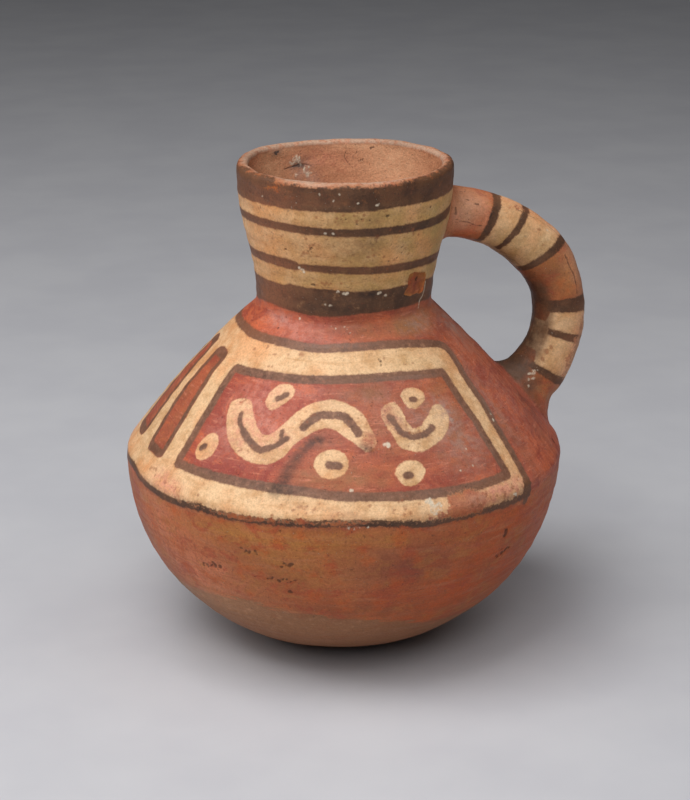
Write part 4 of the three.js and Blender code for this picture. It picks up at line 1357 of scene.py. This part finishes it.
# Edges of each painted shape: how ragged, and how soft in millimetres
EDGES = {"red": (0.8, 0.9), "cream": (0.4, 0.35), "dark": (0.45, 0.34), "nick": (0.15, 0.22),
         "stain": (0.5, 0.3), "chalk": (0.4, 0.3)}

# Steps between two limits, and what they go from and to: wear and fading of the slips
WEAR_STEP = (0.45, 0.8)
FRAY_STEP = (0, 1, 1, 3.0)
RED_WEAR = (0, 1, 0.97, 0.2)
THIN_CREAM = (0.25, 0.42, 0.8, 0.97)
THIN_DARK = (0.27, 0.42, 0.72, 0.97)
FADING = (0.05, 1.1)
FRINGE_STEP = (-0.8, 0.2, 0, 0.3)
BARE_STEP = (-0.5, 0.7)
CREAM_GRIT = (0.6, 0.68, 0, 0.42)
CREAM_DIRT = (0, 1, 0.2, 1)

# The same for what lies on the slips
SPECK_STEP = (0.7, 0.74)
CHALK_DUST = (0.74, 0.78, 0, 0.3)
BLOTS = (0.68, 0.74, 0, 0.3)
STAIN_STRENGTH = 0.55
SPECKS_ON_CREAM = (0, 1, 0.4, 0.16)
SOOT_AND_SHADE_MOTTLE = (0.35, 0.6, 0.45, 1)
GRIME_MOTTLE = (0.35, 0.65, 0.75, 1)
HAZE_MOTTLE = (0.35, 0.65, 0.25, 0.9)
HAZE_ON_CREAM = (0, 1, 1, 0.35)
CHALK_MOTTLE = (0.35, 0.6, 0.65, 0.95)
NICK_DARKNESS = 0.65
GRAIN_SHADE = (0.3, 0.7, 1.1, 0.89)
GRIT_SHADE = (0.3, 0.7, 1.07, 0.93)
BURNISH = (0.3, 0.7, 0.46, 0.58)
WORN_DULLNESS = 0.18
SPOT_DULLNESS = 0.2
SHINE = 0.25

# Heights of the surface's relief, in millimetres
RELIEF = [("streaks", 0.05), ("swell", 0.05), ("grain", 0.035)]
SLIP_HEIGHT = 0.03
CHALK_HEIGHT = 0.05
SPECK_DEPTH, NICK_DEPTH, WEAR_DEPTH = 0.06, 0.16, 0.04
ROUGH_HEIGHT = 0.07


# Places of a mix node's colours among its sockets
MIX_BELOW, MIX_ABOVE, MIX_RESULT = 6, 7, 2


class Wiring:
    """Builds a material's nodes. Its methods return output sockets, and take sockets or plain values."""

    def __init__(self, name):
        self.material = bpy.data.materials.new(name)
        self.material.use_nodes = True
        self.tree = self.material.node_tree
        self.tree.nodes.clear()
        self.place = self.millimetres()

    def node(self, kind, inputs, **settings):
        """A new node with its inputs linked or filled in."""
        made = self.tree.nodes.new(kind)
        for key, value in settings.items():
            setattr(made, key, value)
        for key, value in inputs.items():
            if isinstance(value, bpy.types.NodeSocket):
                self.tree.links.new(value, made.inputs[key])
            else:
                made.inputs[key].default_value = value
        return made

    def millimetres(self):
        """Where a point is on the object, in millimetres."""
        place = self.node("ShaderNodeTexCoord", {}).outputs["Object"]
        return self.stretched(place, (1 / MM, 1 / MM, 1 / MM))

    def stretched(self, vector, factors):
        """The vector with each part multiplied by its factor."""
        return self.node("ShaderNodeVectorMath", {0: vector, 1: factors}, operation="MULTIPLY").outputs[0]

    def round_the_axis(self, width, rise_per_mm):
        """Coordinates for streaks that run up and down: the direction from the axis, and a little height."""
        flat = self.stretched(self.place, (1, 1, 0))
        direction = self.node("ShaderNodeVectorMath", {0: flat}, operation="NORMALIZE").outputs[0]
        sized = self.stretched(direction, (width, width, 0))
        lifted = self.stretched(self.place, (0, 0, rise_per_mm))
        return self.node("ShaderNodeVectorMath", {0: sized, 1: lifted}, operation="ADD").outputs[0]

    def layer(self, name):
        """One of the painted layers."""
        return self.node("ShaderNodeAttribute", {}, attribute_name="paint_" + name).outputs["Fac"]

    def math(self, operation, a, b=0.0, clamp=False):
        return self.node("ShaderNodeMath", {0: a, 1: b}, operation=operation, use_clamp=clamp).outputs[0]

    def times(self, *values):
        product = values[0]
        for value in values[1:]:
            product = self.math("MULTIPLY", product, value)
        return product

    def sum(self, *values):
        total = values[0]
        for value in values[1:]:
            total = self.math("ADD", total, value)
        return total

    def noise(self, name, vector=None):
        """One of the listed noises, from 0 to 1, read at the place or at the vector given."""
        size, detail, roughness, drawn_out, distortion = NOISES[name]
        if vector is None:
            vector = self.place if drawn_out == 1 else self.stretched(self.place, (drawn_out, drawn_out, 1))
        inputs = {"Vector": vector, "Scale": 1 / size, "Detail": detail, "Roughness": roughness,
                  "Distortion": distortion}
        return self.node("ShaderNodeTexNoise", inputs).outputs["Fac"]

    def centred(self, value, amount):
        """Noise moved to lie about zero, with that amount of swing."""
        return self.math("MULTIPLY", self.math("SUBTRACT", value, 0.5), 2 * amount)

    def ramp(self, value, low, high, start=0.0, end=1.0):
        """A soft step from start to end as the value goes from low to high."""
        inputs = {"Value": value, "From Min": low, "From Max": high, "To Min": start, "To Max": end}
        return self.node("ShaderNodeMapRange", inputs, interpolation_type="SMOOTHSTEP").outputs[0]

    def between(self, first, second, share):
        """The first value where the share is 0 and the second where it is 1."""
        return self.math("ADD", first, self.math("MULTIPLY", self.math("SUBTRACT", second, first), share))

    def mix(self, below, above, factor):
        """One colour laid over another."""
        inputs = {"Factor": factor, MIX_BELOW: below, MIX_ABOVE: above}
        made = self.node("ShaderNodeMix", inputs, data_type="RGBA", clamp_factor=True)
        return made.outputs[MIX_RESULT]


class ClayMarks:
    """The marks shared by all slips: streaks, mottling, grit and wear."""

    def __init__(self, w):
        self.noises = {name: w.noise(name) for name in SHARED_NOISES}
        sloping = w.noise("sloping", w.round_the_axis(*SLOPING_STREAKS))
        self.noises["streaks"] = w.between(self.noises["level"], sloping, w.layer("sweep"))
        coarse = w.centred(w.noise("wear"), WEAR_SWINGS[0])
        fine = w.centred(w.noise("fine wear"), WEAR_SWINGS[1])
        self.worn = w.ramp(w.sum(w.layer("worn"), coarse, fine), *WEAR_STEP)
        coarse = w.centred(w.noise("wobble"), WOBBLES[0])
        fine = w.centred(w.noise("fine wobble"), WOBBLES[1])
        self.wobble = w.times(w.sum(coarse, fine), w.ramp(w.layer("frayed"), *FRAY_STEP))


def coverage(w, marks, layer):
    """How well a painted shape covers a spot: its distance with a ragged, brushy edge."""
    ragged, soft = EDGES[layer]
    return w.ramp(w.math("ADD", w.layer(layer), w.times(marks.wobble, ragged)), -soft, soft)


def washed(w, marks, colour, washes):
    """The colour with its washes laid over it."""
    for tint, layers, noise, *step in washes:
        strength = w.times(*map(w.layer, layers), w.ramp(marks.noises[noise], *step))
        colour = w.mix(colour, tint, strength)
    return colour


def clay_colour(w, marks):
    """The fired clay: orange, with brown and yellow drifts and burnishing streaks, bare and tan low down."""
    level, fleck = marks.noises["level"], marks.noises["fleck"]
    swings = w.centred(level, BARE_SWINGS[0]), w.centred(fleck, BARE_SWINGS[1])
    bare = w.ramp(w.sum(w.layer("bare"), *swings), *BARE_STEP)
    colour = w.mix(washed(w, marks, CLAY, CLAY_WASHES), washed(w, marks, CLAY_BARE, BARE_WASHES), bare)
    colour = washed(w, marks, colour, WORN_WASHES)
    return w.mix(colour, washed(w, marks, INSIDE_CLAY, INSIDE_WASHES), w.layer("inner"))


def cream_slip_colour(w, marks):
    """Cream slip: peach, olive and brownish washes, faint brush strokes and fine brown grit."""
    dirt = w.ramp(w.sum(w.layer("olive"), w.layer("brown")), *CREAM_DIRT)
    grit = w.times(w.ramp(marks.noises["grit"], *CREAM_GRIT), dirt)
    return w.mix(washed(w, marks, CREAM, CREAM_WASHES), GRIT, grit)


def slip_cover(w, marks):
    """How well each slip covers a spot, and the brown fringe beside the dark slip."""
    fleck = marks.noises["fleck"]
    kept = w.math("SUBTRACT", 1.0, marks.worn)
    faded = w.ramp(w.sum(w.layer("faded"), w.centred(fleck, FADE_SWING)), *FADING)
    full = w.math("SUBTRACT", 1.0, faded)
    near_dark = w.ramp(w.sum(w.layer("dark"), w.times(marks.wobble, FRINGE_WOBBLE)), *FRINGE_STEP)
    return {
        "red": w.times(coverage(w, marks, "red"), w.ramp(marks.worn, *RED_WEAR)),
        "cream": w.times(coverage(w, marks, "cream"), w.ramp(fleck, *THIN_CREAM), kept, full),
        "fringe": w.times(near_dark, kept),
        "dark": w.times(coverage(w, marks, "dark"), w.ramp(fleck, *THIN_DARK), kept),
    }


def slipped_colour(w, marks, cover):
    """The clay under thin red slip, cream slip, and dark slip with its brown fringe."""
    colour = w.mix(clay_colour(w, marks), washed(w, marks, RED, RED_WASHES), cover["red"])
    colour = w.mix(colour, cream_slip_colour(w, marks), cover["cream"])
    colour = w.mix(colour, FRINGE, cover["fringe"])
    return w.mix(colour, washed(w, marks, DARK, DARK_WASHES), cover["dark"])


def small_spots(w, marks):
    """Soot specks, nicks and chalky crusts, each from 0 to 1."""
    dust = w.ramp(w.noise("chalk dust"), *CHALK_DUST)
    return {
        "specks": w.ramp(w.noise("specks"), *SPECK_STEP),
        "nicks": coverage(w, marks, "nick"),
        "chalk": w.math("MAXIMUM", coverage(w, marks, "chalk"), dust),
    }


def soiled_and_shaded(w, marks, colour, cream, spots):
    """The colour with its specks, stains, grime, sooty marks and painted shade, haze, chalk and sandy grain.
    """
    fleck, mottle = marks.noises["fleck"], marks.noises["mottle"]
    colour = w.mix(colour, SOOT_AND_SHADE_COLOUR, w.times(spots["specks"], w.ramp(cream, *SPECKS_ON_CREAM)))
    colour = w.mix(colour, STAIN, w.times(coverage(w, marks, "stain"), STAIN_STRENGTH))
    colour = w.mix(colour, STAIN, w.ramp(w.noise("blots"), *BLOTS))
    colour = w.mix(colour, GRIME, w.times(w.layer("grime"), w.ramp(mottle, *GRIME_MOTTLE)))
    # Sooty marks, and the painted shade under the bowl and on the handle's inner side; the inside also
    # darkens with depth
    soot_and_shade = w.times(w.layer("soot_and_shade"), w.ramp(fleck, *SOOT_AND_SHADE_MOTTLE))
    colour = w.mix(colour, SOOT_AND_SHADE_COLOUR, w.sum(soot_and_shade, w.times(spots["nicks"], NICK_DARKNESS)))
    haze = w.times(w.layer("dusty"), w.ramp(fleck, *HAZE_MOTTLE), w.ramp(cream, *HAZE_ON_CREAM))
    colour = w.mix(colour, HAZE, haze)
    colour = w.mix(colour, CHALK_COLOUR, w.times(spots["chalk"], w.ramp(fleck, *CHALK_MOTTLE)))
    sand = w.times(w.ramp(marks.noises["grain"], *GRAIN_SHADE), w.ramp(marks.noises["grit"], *GRIT_SHADE))
    return w.node("ShaderNodeVectorMath", {0: colour, "Scale": sand}, operation="SCALE").outputs[0]


def dullness(w, marks, spots):
    """Roughness: burnished along the streaks, duller where worn, nicked or chalky."""
    roughness = w.sum(w.ramp(marks.noises["streaks"], *BURNISH), w.times(marks.worn, WORN_DULLNESS))
    dull_spots = w.math("MAXIMUM", spots["chalk"], spots["nicks"])
    return w.math("ADD", roughness, w.times(dull_spots, SPOT_DULLNESS), clamp=True)


def relief(w, marks, cover, spots):
    """The surface's normal, from the heights of its grain, slips, crusts, nicks and worn places."""
    noises = {**marks.noises, "swell": w.noise("swell")}
    height = w.sum(*(w.centred(noises[name], amount) for name, amount in RELIEF))
    slips = w.times(w.sum(cover["cream"], cover["dark"]), SLIP_HEIGHT)
    height = w.sum(height, slips, w.times(spots["chalk"], CHALK_HEIGHT))
    depth = w.sum(w.times(spots["specks"], SPECK_DEPTH), w.times(spots["nicks"], NICK_DEPTH),
                  w.times(marks.worn, WEAR_DEPTH))
    rough = w.times(w.sum(w.layer("inner"), marks.worn), w.centred(w.noise("rough"), ROUGH_HEIGHT))
    height = w.math("ADD", w.math("SUBTRACT", height, depth), rough)
    return w.node("ShaderNodeBump", {"Height": height, "Distance": MM, "Strength": 1.0}).outputs["Normal"]


def painted_clay():
    """The one material of the jug: clay under red, cream and dark slip, worn, nicked and stained."""
    w = Wiring("slip_painted_earthenware")
    marks = ClayMarks(w)
    cover = slip_cover(w, marks)
    spots = small_spots(w, marks)
    colour = soiled_and_shaded(w, marks, slipped_colour(w, marks, cover), cover["cream"], spots)
    finish = {"Base Color": colour, "Roughness": dullness(w, marks, spots),
              "Normal": relief(w, marks, cover, spots), "Specular IOR Level": SHINE}
    shader = w.node("ShaderNodeBsdfPrincipled", finish)
    w.node("ShaderNodeOutputMaterial", {"Surface": shader.outputs[0]})
    return w.material


# Camera of the photograph, in degrees and millimetres. It looks level with the jug's middle.
CAMERA_AZIMUTH = -18.0
CAMERA_ELEVATION = 18.243
CAMERA_DISTANCE = 777.35
CAMERA_AIM_HEIGHT = 83.66
CAMERA_AIM_RIGHT = 1.02
FOCAL_PIXELS = 2276
LONG_SIDE_PIXELS = 800
SENSOR = 36.0
CLIP_START = 0.02

# The studio: soft lights as name, azimuth, elevation, distance and size in metres, and power in watts
LIGHTS = [
    ("key", -62, 64, 1.1, 0.8, 8.8),
    ("front", -24, 37, 1.2, 0.6, 3.8),
    ("fill", 42, 58, 1.1, 0.8, 2.2),
    ("left", -104, 34, 1.2, 0.6, 2.2),
]
LIGHT_AIM_HEIGHT = 0.07
WORLD_COLOUR = (0.05, 0.05, 0.051, 1)
FLOOR_COLOURS = (linear(204, 204, 208), linear(198, 198, 203))
FLOOR_ROUGHNESS = 0.8
FLOOR_GRAIN = 0.03
FLOOR_MOTTLE = (0.3, 0.7)
FLOOR_REACH = 6.0


def away_from_centre(azimuth, elevation):
    """The direction from the jug towards a place seen at that azimuth and elevation."""
    a, e = math.radians(azimuth), math.radians(elevation)
    return Vector((math.sin(a) * math.cos(e), -math.cos(a) * math.cos(e), math.sin(e)))


def add_camera():
    """The photograph's camera."""
    back = away_from_centre(CAMERA_AZIMUTH, CAMERA_ELEVATION)
    right = away_from_centre(CAMERA_AZIMUTH + 90, 0)
    aim = Vector((0, 0, CAMERA_AIM_HEIGHT)) + right * CAMERA_AIM_RIGHT
    data = bpy.data.cameras.new("photo_camera")
    data.sensor_fit = "AUTO"
    data.sensor_width = SENSOR
    data.lens = FOCAL_PIXELS * SENSOR / LONG_SIDE_PIXELS
    data.clip_start = CLIP_START
    camera = bpy.data.objects.new("photo_camera", data)
    camera.location = (aim + back * CAMERA_DISTANCE) * MM
    camera.rotation_mode = "QUATERNION"
    camera.rotation_quaternion = (-back).to_track_quat("-Z", "Y")
    bpy.context.scene.collection.objects.link(camera)
    bpy.context.scene.camera = camera


def add_softbox(name, azimuth, elevation, distance, size, power):
    """A square soft light that looks at the jug. Distance and size are in metres, power in watts."""
    data = bpy.data.lights.new(name, "AREA")
    data.shape = "SQUARE"
    data.size = size
    data.energy = power
    lamp = bpy.data.objects.new(name, data)
    back = away_from_centre(azimuth, elevation)
    lamp.location = Vector((0, 0, LIGHT_AIM_HEIGHT)) + back * distance
    lamp.rotation_mode = "QUATERNION"
    lamp.rotation_quaternion = (-back).to_track_quat("-Z", "Y")
    bpy.context.scene.collection.objects.link(lamp)


def add_world():
    """The dim grey light of the room."""
    world = bpy.data.worlds.new("studio")
    world.use_nodes = True
    background = world.node_tree.nodes["Background"]
    background.inputs["Color"].default_value = WORLD_COLOUR
    background.inputs["Strength"].default_value = 1.0
    bpy.context.scene.world = world


def floor_material():
    """A plain pale floor covering, matt and very slightly uneven."""
    w = Wiring("pale_floor")
    colour = w.mix(*FLOOR_COLOURS, w.ramp(w.noise("floor"), *FLOOR_MOTTLE))
    grain = {"Height": w.noise("floor grain"), "Distance": FLOOR_GRAIN * MM, "Strength": 1.0}
    normal = w.node("ShaderNodeBump", grain).outputs["Normal"]
    finish = {"Base Color": colour, "Roughness": FLOOR_ROUGHNESS, "Normal": normal}
    shader = w.node("ShaderNodeBsdfPrincipled", finish)
    w.node("ShaderNodeOutputMaterial", {"Surface": shader.outputs[0]})
    return w.material


def add_floor():
    """The floor that the jug stands on."""
    mesh = bpy.data.meshes.new("floor")
    corners = [(x * FLOOR_REACH, y * FLOOR_REACH, 0) for x, y in ((-1, -1), (1, -1), (1, 1), (-1, 1))]
    mesh.from_pydata(corners, [], [(0, 1, 2, 3)])
    mesh.materials.append(floor_material())
    floor = bpy.data.objects.new("floor", mesh)
    bpy.context.scene.collection.objects.link(floor)


jug_material = painted_clay()
build_walls(jug_material)
build_handle(jug_material)
build_lutings(jug_material)
add_floor()
add_camera()
for light in LIGHTS:
    add_softbox(*light)
add_world()
bpy.context.scene.view_settings.view_transform = "Standard"
